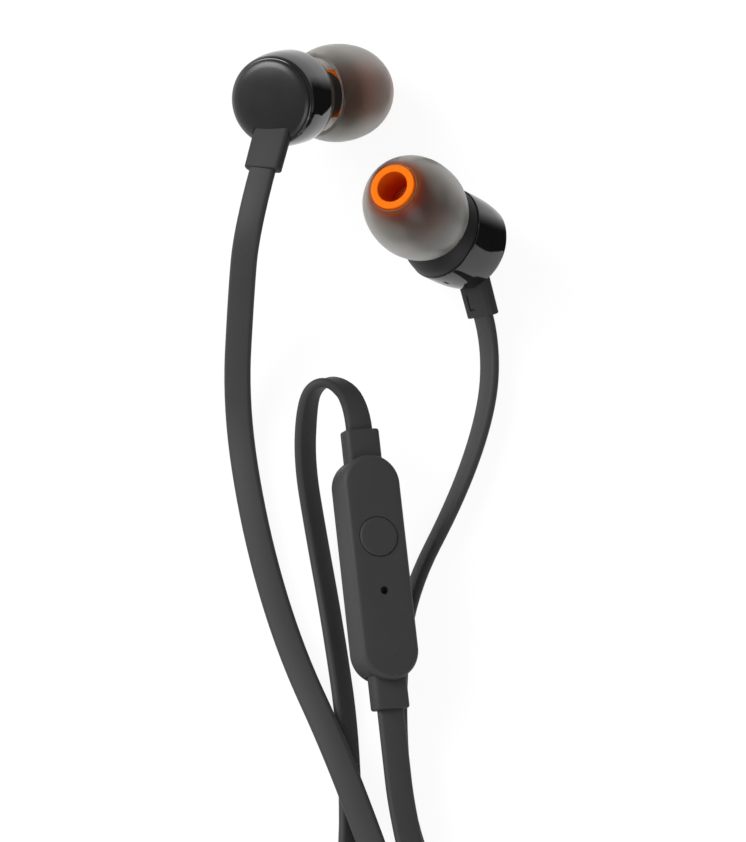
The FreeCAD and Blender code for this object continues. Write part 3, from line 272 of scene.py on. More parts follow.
def group(name, inputs, outputs):
    """A shader node group with named sockets; its input and output nodes."""
    tree = bpy.data.node_groups.new(name, "ShaderNodeTree")
    for socket, kind, value in inputs:
        item = tree.interface.new_socket(socket, in_out="INPUT", socket_type=kind)
        if value is not None:
            item.default_value = value
    for socket, kind in outputs:
        tree.interface.new_socket(socket, in_out="OUTPUT", socket_type=kind)
    return tree, tree.nodes.new("NodeGroupInput"), tree.nodes.new("NodeGroupOutput")


def node(tree, kind, values=(), **settings):
    """A node with its settings and the values of its named or numbered sockets."""
    made = tree.nodes.new(kind)
    for key, value in settings.items():
        setattr(made, key, value)
    for key, value in dict(values).items():
        made.inputs[key].default_value = value
    return made


def feed(tree, item, socket):
    """A socket linked from another one, or set to a value."""
    if isinstance(item, bpy.types.NodeSocket):
        tree.links.new(item, socket)
    else:
        socket.default_value = item


def maths(tree, operation, first, second, clamp=False):
    """A Math node; either side is a socket or a number."""
    made = node(tree, "ShaderNodeMath", operation=operation, use_clamp=clamp)
    feed(tree, first, made.inputs[0])
    feed(tree, second, made.inputs[1])
    return made.outputs[0]


def noise(tree, vector, scale, detail=3.0, roughness=0.55):
    """A noise texture's value; its scale is a socket or a number."""
    made = node(tree, "ShaderNodeTexNoise", {"Detail": detail, "Roughness": roughness})
    tree.links.new(vector, made.inputs["Vector"])
    feed(tree, scale, made.inputs["Scale"])
    return made.outputs["Fac"]


def moulding_group():
    """Grain of a moulded surface: an even fine texture, a softer mottle and a few specks of lint."""
    tree, start, end = group("moulded_grain", [
        ("Vector", "NodeSocketVector", None), ("Grain Scale", "NodeSocketFloat", 9000.0),
        ("Mottle Scale", "NodeSocketFloat", 350.0), ("Speck Amount", "NodeSocketFloat", 0.3),
    ], [("Grain", "NodeSocketFloat"), ("Mottle", "NodeSocketFloat"), ("Specks", "NodeSocketFloat")])
    place = start.outputs["Vector"]
    grain = noise(tree, place, start.outputs["Grain Scale"], 2.0, 0.6)
    mottle = noise(tree, place, start.outputs["Mottle Scale"], 4.0)
    cells = node(tree, "ShaderNodeTexVoronoi", {"Randomness": 1.0, "Scale": 900.0})
    tree.links.new(place, cells.inputs["Vector"])
    close = maths(tree, "LESS_THAN", cells.outputs["Distance"], 0.09)
    gate = maths(tree, "GREATER_THAN", noise(tree, place, 260.0, 2.0), 0.58)
    specks = maths(tree, "MULTIPLY", maths(tree, "MULTIPLY", close, gate), start.outputs["Speck Amount"])
    tree.links.new(grain, end.inputs["Grain"])
    tree.links.new(mottle, end.inputs["Mottle"])
    tree.links.new(specks, end.inputs["Specks"])
    return tree


def wear_group():
    """Where edges are rubbed: convex places, broken up by noise."""
    tree, start, end = group("rubbed_edges", [
        ("Vector", "NodeSocketVector", None), ("Reach", "NodeSocketFloat", 0.55),
        ("Break Scale", "NodeSocketFloat", 1400.0),
    ], [("Mask", "NodeSocketFloat")])
    shape = node(tree, "ShaderNodeNewGeometry")
    ramp = node(tree, "ShaderNodeMapRange", {"From Max": 0.62}, clamp=True)
    tree.links.new(shape.outputs["Pointiness"], ramp.inputs["Value"])
    tree.links.new(start.outputs["Reach"], ramp.inputs["From Min"])
    broken = noise(tree, start.outputs["Vector"], start.outputs["Break Scale"], 4.0)
    tree.links.new(maths(tree, "MULTIPLY", ramp.outputs[0], broken, clamp=True), end.inputs["Mask"])
    return tree


MOULDED = moulding_group()
RUBBED = wear_group()


# ------------------------------------------------------------------------------- materials

def bare(name):
    """A new material with nothing but its output, and the socket for its surface."""
    material = bpy.data.materials.new(name)
    material.use_nodes = True
    tree = material.node_tree
    tree.nodes.clear()
    return material, tree, tree.nodes.new("ShaderNodeOutputMaterial").inputs["Surface"]


def blank(name):
    """A new material with its shader and object coordinates."""
    material, tree, surface = bare(name)
    shader = tree.nodes.new("ShaderNodeBsdfPrincipled")
    tree.links.new(shader.outputs[0], surface)
    return material, tree, shader, tree.nodes.new("ShaderNodeTexCoord").outputs["Object"]


def mix_colour(tree, mask, dark, light):
    """One colour to another by a mask; either is a socket or three numbers."""
    made = node(tree, "ShaderNodeMix", data_type="RGBA")
    tree.links.new(mask, made.inputs["Factor"])
    for socket, colour in ((made.inputs[6], dark), (made.inputs[7], light)):
        feed(tree, colour if isinstance(colour, bpy.types.NodeSocket) else (*colour, 1.0), socket)
    return made.outputs[2]


def mix_shader(tree, mask, first, second):
    """One shader to another by a mask."""
    made = tree.nodes.new("ShaderNodeMixShader")
    tree.links.new(mask, made.inputs["Fac"])
    tree.links.new(first.outputs[0], made.inputs[1])
    tree.links.new(second.outputs[0], made.inputs[2])
    return made.outputs[0]


def bumped(tree, shader, height, depth):
    """Bump from a height, this deep in metres."""
    bump = node(tree, "ShaderNodeBump", {"Strength": 1.0, "Distance": depth})
    tree.links.new(height, bump.inputs["Height"])
    tree.links.new(bump.outputs[0], shader.inputs["Normal"])


def moulded(
    name, dark, light, rough, spread, grain, depth,
    specular=0.5, metallic=0.0, wear=0.15, specks=0.3, mottle=350.0,
):
    """A moulded or plated finish: mottled colour, uneven roughness, fine bump and worn edges."""
    material, tree, shader, place = blank(name)
    surface = node(tree, "ShaderNodeGroup", node_tree=MOULDED)
    surface.inputs["Grain Scale"].default_value = grain
    surface.inputs["Mottle Scale"].default_value = mottle
    surface.inputs["Speck Amount"].default_value = specks
    tree.links.new(place, surface.inputs["Vector"])
    edges = node(tree, "ShaderNodeGroup", node_tree=RUBBED)
    tree.links.new(place, edges.inputs["Vector"])
    base = mix_colour(tree, surface.outputs["Mottle"], dark, light)
    lighter = tuple(min(1.0, c * 1.6 + 0.02) for c in light)
    worn = maths(tree, "MULTIPLY", edges.outputs["Mask"], wear)
    pale = maths(tree, "ADD", worn, surface.outputs["Specks"], clamp=True)
    tree.links.new(mix_colour(tree, pale, base, lighter), shader.inputs["Base Color"])
    centred = maths(tree, "SUBTRACT", surface.outputs["Mottle"], 0.5)
    uneven = maths(tree, "MULTIPLY", centred, spread * 2)
    tree.links.new(maths(tree, "ADD", uneven, rough, clamp=True), shader.inputs["Roughness"])
    bumped(tree, shader, surface.outputs["Grain"], depth)
    shader.inputs["Metallic"].default_value = metallic
    shader.inputs["Specular IOR Level"].default_value = specular
    return material


def silicone():
    """Grey silicone: deeper where it is looked through squarely, milky along its wall, and a painted orange
    glow near the stem, standing in for the stem showing through the wall.

    The ear tip's own attributes say where the stem lies under it and which stretch of its inner skirt wall
    gets a near-white colour: painted light, standing in for the white background shining through the thin
    wall.
    """
    material = moulded(
        "grey_silicone", (0.47, 0.462, 0.44), (0.53, 0.52, 0.50),
        rough=0.34, spread=0.04, grain=2500.0, depth=3e-6, specular=0.15, wear=0.0, specks=0.1,
    )
    tree = material.node_tree
    shader = tree.nodes["Principled BSDF"]
    mottled = shader.inputs["Base Color"].links[0].from_socket
    wall = node(tree, "ShaderNodeLayerWeight", {"Blend": 0.5})
    milky = node(tree, "ShaderNodeMapRange", {"From Min": 0.0, "From Max": 0.60}, clamp=True)
    tree.links.new(wall.outputs["Facing"], milky.inputs["Value"])
    deep = node(tree, "ShaderNodeMix", {"Factor": 1.0}, data_type="RGBA", blend_type="MULTIPLY")
    tree.links.new(mottled, deep.inputs[6])
    depth = mix_colour(tree, milky.outputs[0], (0.17, 0.15, 0.135), (1.25, 1.25, 1.22))
    tree.links.new(depth, deep.inputs[7])
    # Painted light: the marked inner skirt wall turns near-white, as if lit from behind through the thin
    # silicone.
    painted_backlight = node(tree, "ShaderNodeAttribute", attribute_name="painted_backlight")
    plain = mix_colour(tree, painted_backlight.outputs["Fac"], deep.outputs[2], (0.93, 0.93, 0.92))
    # Painted light: near the front ring the colour goes orange-brown, standing in for the orange stem glowing
    # through the wall.
    near = node(tree, "ShaderNodeAttribute", attribute_name="painted_stem_glow")
    with_painted_glow = mix_colour(tree, near.outputs["Fac"], plain, (0.46, 0.085, 0.006))
    tree.links.new(with_painted_glow, shader.inputs["Base Color"])
    shader.inputs["Transmission Weight"].default_value = 0.86
    shader.inputs["IOR"].default_value = 1.41
    return material


def woven_mesh():
    """Fine orange weave: two crossing waves lift the threads, the holes stay darker."""
    material, tree, shader, place = blank("orange_weave")
    lifted = []
    for direction in ("X", "Y"):
        wave = node(tree, "ShaderNodeTexWave", {"Scale": 900.0}, wave_type="BANDS", bands_direction=direction)
        tree.links.new(place, wave.inputs["Vector"])
        lifted.append(wave.outputs["Fac"])
    threads = maths(tree, "MAXIMUM", *lifted)
    colour = mix_colour(tree, threads, (0.45, 0.045, 0.004), (0.85, 0.130, 0.020))
    tree.links.new(colour, shader.inputs["Base Color"])
    smoother = maths(tree, "MULTIPLY", threads, 0.3)
    tree.links.new(maths(tree, "SUBTRACT", 0.65, smoother), shader.inputs["Roughness"])
    bumped(tree, shader, threads, 3e-5)
    return material


def wound_copper():
    """Enamelled copper wire in close turns about the coil."""
    material, tree, shader, place = blank("copper_windings")
    wave = node(
        tree, "ShaderNodeTexWave", {"Scale": 2400.0, "Distortion": 0.4, "Detail": 1.0},
        wave_type="BANDS", bands_direction="DIAGONAL",
    )
    tree.links.new(place, wave.inputs["Vector"])
    turns = wave.outputs["Fac"]
    colour = mix_colour(tree, turns, (0.35, 0.11, 0.04), (0.80, 0.36, 0.16))
    tree.links.new(colour, shader.inputs["Base Color"])
    smoother = maths(tree, "MULTIPLY", turns, 0.35)
    tree.links.new(maths(tree, "SUBTRACT", 0.6, smoother), shader.inputs["Roughness"])
    bumped(tree, shader, turns, 4e-5)
    shader.inputs["Metallic"].default_value = 1.0
    return material


def grey(value):
    """One value as a neutral colour."""
    return value, value, value


GLOSS_BLACK = moulded(
    "gloss_black_barrel", grey(0.008), grey(0.011),
    rough=0.07, spread=0.02, grain=700.0, depth=1e-6, specular=0.72, wear=0.05, specks=0.2,
)
SATIN_BLACK = moulded(
    "satin_black_cap", grey(0.012), grey(0.016),
    rough=0.29, spread=0.04, grain=6000.0, depth=3e-6, wear=0.1,
)
MATTE_BLACK = moulded(
    "matte_black_shell", grey(0.010), grey(0.014),
    rough=0.55, spread=0.06, grain=7000.0, depth=12e-6, specular=0.35, wear=0.1,
)
REMOTE_GREY = moulded(
    "matte_black_remote", grey(0.034), grey(0.043),
    rough=0.58, spread=0.06, grain=7000.0, depth=12e-6, specular=0.35, wear=0.1,
)
RELIEF_RUBBER = moulded(
    "black_relief_rubber", grey(0.022), grey(0.030),
    rough=0.62, spread=0.06, grain=5200.0, depth=10e-6, specular=0.3, wear=0.1,
)
CORD_RUBBER = moulded(
    "flat_cord_jacket", grey(0.038), grey(0.047),
    rough=0.56, spread=0.06, grain=4200.0, depth=8e-6, specular=0.22, wear=0.05, mottle=160.0,
)
ORANGE = moulded(
    "orange_silicone", (0.89, 0.152, 0.001), (0.94, 0.180, 0.002),
    rough=0.50, spread=0.05, grain=4000.0, depth=5e-6, specular=0.05, wear=0.02, specks=0.1,
)
# Painted shade: a darker, rougher copy of the orange for the stem's bore, where little light gets in.
SHADED_BORE_ORANGE = moulded(
    "shaded_orange_bore", (0.62, 0.085, 0.001), (0.70, 0.105, 0.002),
    rough=0.70, spread=0.05, grain=1500.0, depth=4e-6, specular=0.05, wear=0.0, specks=0.1,
)
GREY_SILICONE = silicone()
ORANGE_WEAVE = woven_mesh()
NICKEL = moulded(
    "nickel_plating", (0.55, 0.54, 0.51), (0.66, 0.64, 0.60),
    rough=0.22, spread=0.08, grain=1800.0, depth=2e-6, metallic=1.0, wear=0.1,
)
ZINC = moulded(
    "zinc_plated_steel", (0.42, 0.42, 0.41), (0.56, 0.56, 0.55),
    rough=0.36, spread=0.10, grain=2400.0, depth=4e-6, metallic=1.0,
)
GREY_MOULDING = moulded(
    "grey_basket_moulding", grey(0.06), grey(0.09), rough=0.50, spread=0.06, grain=5000.0, depth=8e-6,
)
COPPER = wound_copper()
FILM = moulded(
    "amber_film", (0.48, 0.31, 0.12), (0.60, 0.42, 0.18),
    rough=0.25, spread=0.06, grain=900.0, depth=6e-6, specular=0.6,
)
CIRCUIT = moulded(
    "green_circuit_lacquer", (0.010, 0.12, 0.045), (0.020, 0.19, 0.075),
    rough=0.30, spread=0.08, grain=2600.0, depth=8e-6, mottle=900.0,
)
SWITCH_STEEL = moulded(
    "stamped_steel", (0.46, 0.46, 0.45), (0.60, 0.60, 0.58),
    rough=0.28, spread=0.10, grain=3200.0, depth=4e-6, metallic=1.0, wear=0.2,
)
GOLD = moulded(
    "gold_plated_contact", (0.76, 0.53, 0.20), (0.88, 0.66, 0.28),
    rough=0.18, spread=0.07, grain=2400.0, depth=2e-6, metallic=1.0,
)
CAPSULE = moulded(
    "dark_capsule_gauze", grey(0.008), grey(0.020),
    rough=0.60, spread=0.08, grain=9000.0, depth=10e-6, wear=0.05,
)
BAND = moulded(
    "black_insulating_band", grey(0.012), grey(0.020), rough=0.22, spread=0.05, grain=4000.0, depth=2e-6,
)
TIE = moulded(
    "black_tie_band", (0.022, 0.022, 0.023), (0.034, 0.034, 0.035),
    rough=0.42, spread=0.08, grain=3600.0, depth=10e-6, wear=0.2,
)


# ------------------------------------------------------------------------------- making pieces

SAME_PLACE = 0.0005         # closer points than this are one


def lathe(outline, closed=True, steps=96):
    """A mesh turned about z from (radius, height, rounding) points; the corners are bevelled first."""
    bm = bmesh.new()
    verts = [bm.verts.new((row[0], 0, row[1])) for row in outline]
    pairs = list(zip(verts, verts[1:]))
    if closed:
        pairs.append((verts[-1], verts[0]))
    for pair in pairs:
        bm.edges.new(pair)
    for size in sorted({row[2] for row in outline if len(row) > 2}):
        corners = [v for v, row in zip(verts, outline) if len(row) > 2 and row[2] == size]
        bmesh.ops.bevel(
            bm, geom=corners, offset=size, segments=5, profile=0.5, affect="VERTICES", material=-1,
            clamp_overlap=True,
        )
    bmesh.ops.spin(
        bm, geom=bm.verts[:] + bm.edges[:], cent=(0, 0, 0), axis=(0, 0, 1), angle=math.tau, steps=steps,
        use_merge=True,
    )
    bmesh.ops.remove_doubles(bm, verts=bm.verts, dist=SAME_PLACE)
    bmesh.ops.recalc_face_normals(bm, faces=bm.faces)
    return bm


def box(width, depth, low, high, x=0.0, y=0.0):
    """A block about (x, y), from one height to another."""
    bm = bmesh.new()
    bmesh.ops.create_cube(bm, size=1.0)
    bmesh.ops.scale(bm, vec=(width, depth, high - low), verts=bm.verts)
    bmesh.ops.translate(bm, vec=(x, y, (low + high) / 2), verts=bm.verts)
    return bm


def long_round(width, length, low, high, segments=48):
    """A block with round ends along y."""
    bm = bmesh.new()
    bmesh.ops.create_circle(bm, cap_ends=True, segments=segments, radius=width / 2)
    bmesh.ops.rotate(bm, verts=bm.verts, matrix=Matrix.Rotation(math.pi / segments, 3, "Z"))
    for v in bm.verts:
        v.co.y += math.copysign((length - width) / 2, v.co.y)
        v.co.z = low
    made = bmesh.ops.extrude_face_region(bm, geom=bm.faces[:])["geom"]
    raised = [g for g in made if isinstance(g, bmesh.types.BMVert)]
    bmesh.ops.translate(bm, vec=(0, 0, high - low), verts=raised)
    bmesh.ops.recalc_face_normals(bm, faces=bm.faces)
    return bm


def post(radius, low, high, x=0.0, y=0.0, segments=64):
    """A plain cylinder about (x, y), for cutting holes."""
    bm = bmesh.new()
    bmesh.ops.create_cone(
        bm, cap_ends=True, segments=segments, radius1=radius, radius2=radius, depth=high - low,
    )
    bmesh.ops.translate(bm, vec=(x, y, (low + high) / 2), verts=bm.verts)
    return bm


def soften(bm, size, wanted=None, segments=3, angle=0.6):
    """Bevel the edges sharper than an angle that a test picks."""
    edges = [
        e for e in bm.edges
        if e.is_manifold and e.calc_face_angle() > angle and (wanted is None or wanted(e))
    ]
    bmesh.ops.bevel(
        bm, geom=edges, offset=size, segments=segments, profile=0.5, affect="EDGES", material=-1,
        clamp_overlap=True,
    )
    return bm


def running(axis):
    """A test for edges that run more than 3 mm along x, y or z (0, 1 or 2)."""
    return lambda e: abs((e.verts[0].co - e.verts[1].co)[axis]) > 3


def above(height):
    """A test for edges that lie wholly above a height."""
    return lambda e: all(v.co.z > height for v in e.verts)


def moved(bm, matrix):
    """The mesh in another place."""
    bmesh.ops.transform(bm, matrix=matrix, verts=bm.verts)
    return bm


def shown(name, bm):
    """An object in the scene from a mesh in the making."""
    mesh = bpy.data.meshes.new(name)
    bm.to_mesh(mesh)
    bm.free()
    obj = bpy.data.objects.new(name, mesh)
    bpy.context.scene.collection.objects.link(obj)
    return obj


def combined(bm, operation, *others):
    """The mesh joined with, or less, other closed meshes."""
    whole = shown("whole", bm)
    extra = [shown("other", other) for other in others]
    for item in extra:
        modifier = whole.modifiers.new("cut", "BOOLEAN")
        modifier.operation = operation
        modifier.solver = "EXACT"
        modifier.object = item
    bpy.context.view_layer.update()
    mesh = bpy.data.meshes.new_from_object(whole.evaluated_get(bpy.context.evaluated_depsgraph_get()))
    result = bmesh.new()
    result.from_mesh(mesh)
    bpy.data.meshes.remove(mesh)
    for item in [whole] + extra:
        data = item.data
        bpy.data.objects.remove(item)
        bpy.data.meshes.remove(data)
    bmesh.ops.remove_doubles(result, verts=result.verts, dist=SAME_PLACE)
    return result


def piece(name, bm, place, material, body, slot, *replaced, sharp=34.0):
    """The finished piece: in its place, smooth but for its sharp edges, and riding on its body."""
    if place is not None:
        moved(bm, place)
    obj = shown(name, bm)
    obj.data.polygons.foreach_set("use_smooth", [True] * len(obj.data.polygons))
    obj.data.set_sharp_from_angle(angle=math.radians(sharp))
    obj.data.materials.append(material)
    if replaced:
        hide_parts(*replaced)
    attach(obj, body)
    return obj


# ------------------------------------------------------------------------------- earpieces

def relief_notch(sign):
    """What the strain relief's way out takes from the barrel and the cap."""
    bm = soften(box(4.94, 1.80, 3.4, 13.0), 0.68, running(2), segments=5)
    return moved(bm, relief_frame(sign))


def rear_cap(side, sign, place):
    """Crowned satin disc in a thin groove; its gloss foot carries on the barrel's shoulder."""
    groove = -5.85
    bm = lathe([
        (0, -6.60), (1.4, -6.585, 0.6), (2.6, -6.535, 0.5), (3.6, -6.45, 0.5), (4.35, -6.335, 0.35),
        (4.82, -6.17, 0.22), (5.0, -5.97, 0.10), (5.0, -5.93, 0.02), (4.86, -5.91), (4.86, -5.84),
        (5.10, -5.82, 0.07), (5.27, -5.66, 0.10), (5.39, -5.49), (4.75, -5.49), (4.75, -4.64),
        (4.15, -4.64), (4.15, -5.55), (0, -5.55),
    ], closed=False, steps=128)
    bm = combined(bm, "DIFFERENCE", relief_notch(sign))
    for face in bm.faces:
        face.material_index = 1 if face.calc_center_median().z > groove else 0
    obj = piece(f"{side}_cap", bm, place, SATIN_BLACK, "set", "gloss_black_plastic", f"{side}_rear_cap")
    obj.data.materials.append(GLOSS_BLACK)


def barrel(side, sign, place):
    """Gloss barrel, barely bulged, with a rounded shoulder, the relief's notch and a vent slot."""
    bm = lathe([
        (4.80, 0.0, 0.05), (BARREL_RADIUS, 0.0, 0.12), (5.80, -2.2, 1.2), (5.67, -4.2, 0.9),
        (5.39, -5.49, 0.04), (4.80, -5.49, 0.05),
    ], steps=128)
    outwards = rotation(3.0 * sign, "Z") @ Matrix.Translation((0, 5.8, -1.80)) @ rotation(-90, "X")
    vent = moved(long_round(0.38, 0.95, -0.6, 0.6, 16), outwards)
    bm = combined(bm, "DIFFERENCE", relief_notch(sign), vent)
    piece(f"{side}_barrel", bm, place, GLOSS_BLACK, "set", "gloss_black_plastic", f"{side}_housing")


def front_shell(side, sign, place):
    """Matte front: a spigot, a soft cone and the bent nozzle with its lip and sound bore."""
    tilt = nozzle_frame(sign)
    cone = lathe([
        (0, -0.85), (4.75, -0.85, 0.1), (4.75, 0.0), (5.62, 0.0, 0.10), (5.50, 0.85, 0.5),
        (5.05, 1.75, 0.6), (3.9, 2.95, 0.8), (2.4, 3.92, 0.4), (0, 3.92),
    ], closed=False)
    nozzle = moved(lathe([
        (0, 2.6), (2.75, 2.6), (2.75, 6.45, 0.2), (2.15, 6.45, 0.1), (2.15, 10.35, 0.1),
        (2.38, 10.45, 0.12), (2.38, 11.25, 0.25), (0, 11.25),
    ], closed=False, steps=64), tilt)
    hollow = lathe(
        [(0, -1.2), (4.15, -1.2), (4.15, 0.0), (4.47, 0.62), (1.45, 2.6), (0, 2.6)], closed=False, steps=64,
    )
    bore = moved(post(1.45, 1.2, 12.0), tilt)
    seat = moved(post(1.85, 10.95, 12.0), tilt)
    bm = combined(combined(cone, "UNION", nozzle), "DIFFERENCE", hollow, bore, seat)
    piece(f"{side}_front", bm, place, MATTE_BLACK, "set", "matte_black_plastic", f"{side}_front_shell")


def tip_stem(side, sign, place):
    """Orange stem of the ear tip with its rounded front ring; its bore is rougher and a darker orange, which
    is painted shade in the hollow.
    """
    bore_radius, bore_top = 2.0, 15.45
    bm = lathe([
        (2.45, 6.6, 0.1), (2.95, 6.6, 0.12), (2.95, 14.5, 0.1), (2.78, 14.6, 0.08), (2.78, 15.65, 0.13),
        (1.90, 15.65, 0.12), (1.74, 11.3, 0.05), (2.45, 11.3, 0.1),
    ])
    # Painted shade: the bore's faces take the darker orange.
    for face in bm.faces:
        middle = face.calc_center_median()
        face.material_index = 1 if math.hypot(middle.x, middle.y) < bore_radius and middle.z < bore_top else 0
    obj = piece(
        f"{side}_stem", bm, place @ nozzle_frame(sign), ORANGE, f"{side}_ear_tip", "orange_silicone",
        f"{side}_tip_core",
    )
    obj.data.materials.append(SHADED_BORE_ORANGE)


def tip_dome(side, sign, place):
    """Grey silicone dome: one thin rounded wall from the skirt's rim over the front to the stem."""
    outer = [
        (4.86, 4.05), (5.10, 4.10), (5.45, 5.0), (5.86, 6.3), (6.08, 7.9), (5.98, 9.9), (5.60, 11.7),
        (4.95, 13.15), (4.05, 14.35), (3.20, 15.15), (2.82, 15.42),
    ]
    inner = [
        (2.97, 14.75), (2.97, 14.3), (3.50, 14.0), (4.35, 12.85), (4.98, 11.35), (5.36, 9.75),
        (5.47, 7.9), (5.25, 6.4), (4.85, 5.15), (4.52, 4.35), (4.60, 4.10),
    ]
    stem_radius, fade, front = 3.15, 0.60, 12.5
    bm = lathe(outer + inner, steps=48)
    painted_stem_glow = bm.verts.layers.float.new("painted_stem_glow")
    painted_backlight = bm.verts.layers.float.new("painted_backlight")
    for v in bm.verts:
        radius = math.hypot(v.co.x, v.co.y)
        # Painted light: the mask for an orange glow painted where the stem lies close under the wall near the
        # front.
        if v.co.z > front:
            v[painted_stem_glow] = math.exp(-((max(0.0, radius - stem_radius) / fade) ** 1.5))
        # Painted light: these inner skirt vertices are marked for a near-white colour that stands in for
        # backlight through the wall.
        if 7.0 < v.co.z < 10.5 and any(math.hypot(radius - r, v.co.z - z) < 0.01 for r, z in inner):
            v[painted_backlight] = 1.0
    obj = piece(
        f"{side}_tip", bm, place @ nozzle_frame(sign), GREY_SILICONE, f"{side}_ear_tip", "grey_silicone",
        f"{side}_tip_dome", sharp=80.0,
    )
    smooth = obj.modifiers.new("smooth", "SUBSURF")
    smooth.levels = smooth.render_levels = 2


def strain_relief(side, sign, place):
    """Rubber relief, a little wider at its foot, with a shallow L-shaped groove."""
    bm = box(4.7, 1.6, 4.0, RELIEF_END)
    for v in bm.verts:
        if v.co.z < 6:
            v.co.x *= 1.03
    soften(bm, 0.62, running(2), segments=5)
    soften(bm, 0.22, above(9.0), segments=4)
    leg = box(0.22, 0.4, 6.4, 8.42, -1.15 * sign, -0.8)
    toe = box(0.95, 0.4, 8.2, 8.42, -0.79 * sign, -0.8)
    bm = combined(bm, "DIFFERENCE", combined(leg, "UNION", toe))
    piece(
        f"{side}_relief", bm, place @ relief_frame(sign), RELIEF_RUBBER, "set", "black_rubber",
        f"{side}_strain_relief",
    )


for side, sign, place in (("left", 1, LEFT), ("right", -1, RIGHT)):
    rear_cap(side, sign, place)
    barrel(side, sign, place)
    front_shell(side, sign, place)
    tip_stem(side, sign, place)
    tip_dome(side, sign, place)
    strain_relief(side, sign, place)


# ------------------------------------------------------------------------------- remote

def remote_shell(up):
    """Half of the remote's body, hollow, with a softened face and the slots of both reliefs."""
    low, high = (0.0, 2.5) if up else (-2.5, 0.0)
    bm = long_round(7.2, 27.0, low, high)
    face = high if up else low
    soften(bm, 0.62, lambda e: all(abs(v.co.z - face) < 0.01 for v in e.verts), segments=6)
    hollow = long_round(5.6, 25.4, -0.5 if up else -1.7, 1.7 if up else 0.5)
    slots = [box(4.51, 2.76, -1.38, 1.38, 0, 13.0 * end) for end in (1, -1)]
    return combined(bm, "DIFFERENCE", hollow, *slots)


def remote():
    """The remote's two halves, its button and the boots at its ends."""
    button_y, hole_y = 3.55, -2.9
    button_hole = post(2.42, 1.0, 3.0, 0, button_y)
    sound_hole = post(0.5, 1.0, 3.0, 0, hole_y, 32)
    bm = combined(remote_shell(True), "DIFFERENCE", button_hole, sound_hole)
    front = piece("remote_face", bm, REMOTE, REMOTE_GREY, "set", "matte_black_plastic", "remote_front")
    back = piece(
        "remote_rear", remote_shell(False), REMOTE, REMOTE_GREY, "set", "matte_black_plastic", "remote_back",
    )
    bm = lathe([
        (0, 2.66), (1.2, 2.665), (2.34, 2.70, 0.22), (2.34, 1.6), (2.79, 1.6), (2.79, 1.15), (0, 1.15),
    ], closed=False)
    bmesh.ops.translate(bm, vec=(0, button_y, 0), verts=bm.verts)
    button = piece("remote_key", bm, REMOTE, REMOTE_GREY, "button", "matte_black_plastic", "remote_button")
    pieces = [front, back, button]
    for name, end in (("upper", 1), ("lower", -1)):
        bm = box(4.35, 2.6, 11.9, BOOT_END)
        soften(bm, 0.66, running(2), segments=5)
        soften(bm, 0.30, above(16.7), segments=4)
        moved(bm, rotation(-90 * end, "X"))
        pieces.append(piece(
            f"remote_{name}_boot", bm, REMOTE, CORD_RUBBER, "set", "black_rubber", f"remote_{name}_relief",
        ))
    return pieces


REMOTE_PIECES = remote()


# ------------------------------------------------------------------------------- splitter, tie and plug

def splitter():
    """Tapered moulding with soft edges and two grip grooves."""
    top_width, foot_width, length = 7.0, 4.4, 12.0
    bm = box(top_width, length, -2.0, 2.0, 0, -length / 2)
    whole = bm.verts[:] + bm.edges[:] + bm.faces[:]
    bmesh.ops.bisect_plane(bm, geom=whole, plane_co=(0, -5.4, 0), plane_no=(0, 1, 0))
    for v in bm.verts:
        if v.co.y < -11:
            v.co.x *= foot_width / top_width
    soften(
        bm, 0.75, lambda e: abs(e.verts[0].co.z - e.verts[1].co.z) < 0.1 and abs(e.verts[0].co.z) > 1.9,
        segments=5, angle=0.5,
    )
    soften(bm, 0.3, segments=3, angle=0.5)
    bm = combined(bm, "DIFFERENCE", *(box(9.0, 0.5, 1.75, 3.0, 0, y) for y in (-7.2, -8.8)))
    return piece(
        "cord_splitter", bm, level_frame(SPLITTER_TOP), RELIEF_RUBBER, "set", "black_rubber", "splitter",
    )


def tie():
    """Flat band round the hank with rounded corners."""
    outer = soften(box(22.9, 5.0, 0.0, 7.8), 1.1, running(1), segments=6)
    inner = soften(box(22.1, 6.0, 0.4, 7.4), 0.7, running(1), segments=6)
    bm = combined(outer, "DIFFERENCE", inner)
    return piece("hank_tie", bm, level_frame((0, HANK_MIDDLE, 0)), TIE, "set", "tie_black", "tie")


def plug():
    """Ringed rubber relief and a ribbed grip; the contacts and bands are the CAD's own."""
    boot = [(0, 0), (1.80, 0, 0.15)]
    for k in range(4):
        z = 1.3 + 1.5 * k
        radius = 1.83 + 0.05 * k
        boot += [
            (radius, z, 0.08), (radius - 0.28, z + 0.1), (radius - 0.28, z + 0.5),
            (radius + 0.02, z + 0.6, 0.08),
        ]
    boot += [(2.10, 7.5), (0, 7.5)]
    handle = [(0, 7.5), (2.0, 7.5), (2.9, 8.7, 0.5), (2.9, 10.9, 0.1)]
    for k in range(6):
        z = 11.1 + 1.2 * k
        handle += [(2.75, z, 0.1), (2.75, z + 0.5, 0.1), (2.9, z + 0.65, 0.08), (2.9, z + 1.05, 0.08)]
    handle += [(2.9, 21.4), (2.9, 22.0, 0.45), (1.45, 22.0), (1.45, 19.0), (0, 19.0)]
    return [
        piece(
            "plug_boot", lathe(boot, closed=False), PLUG, RELIEF_RUBBER, "set", "black_rubber", "plug_relief",
        ),
        piece(
            "plug_handle", lathe(handle, closed=False), PLUG, MATTE_BLACK, "set", "matte_black_plastic",
            "plug_grip",
        ),
    ]


SPLITTER_PIECE = splitter()
TIE_PIECE = tie()
PLUG_PIECES = plug()


# ------------------------------------------------------------------------------- the cords

def cord(name, route, nodes):
    """One stretch of the flat cord, which takes the place of the CAD's nodes for it."""
    bm, path = ribbon(route)
    obj = piece(name, bm, None, CORD_RUBBER, "set", "cord_rubber", *nodes, sharp=80.0)


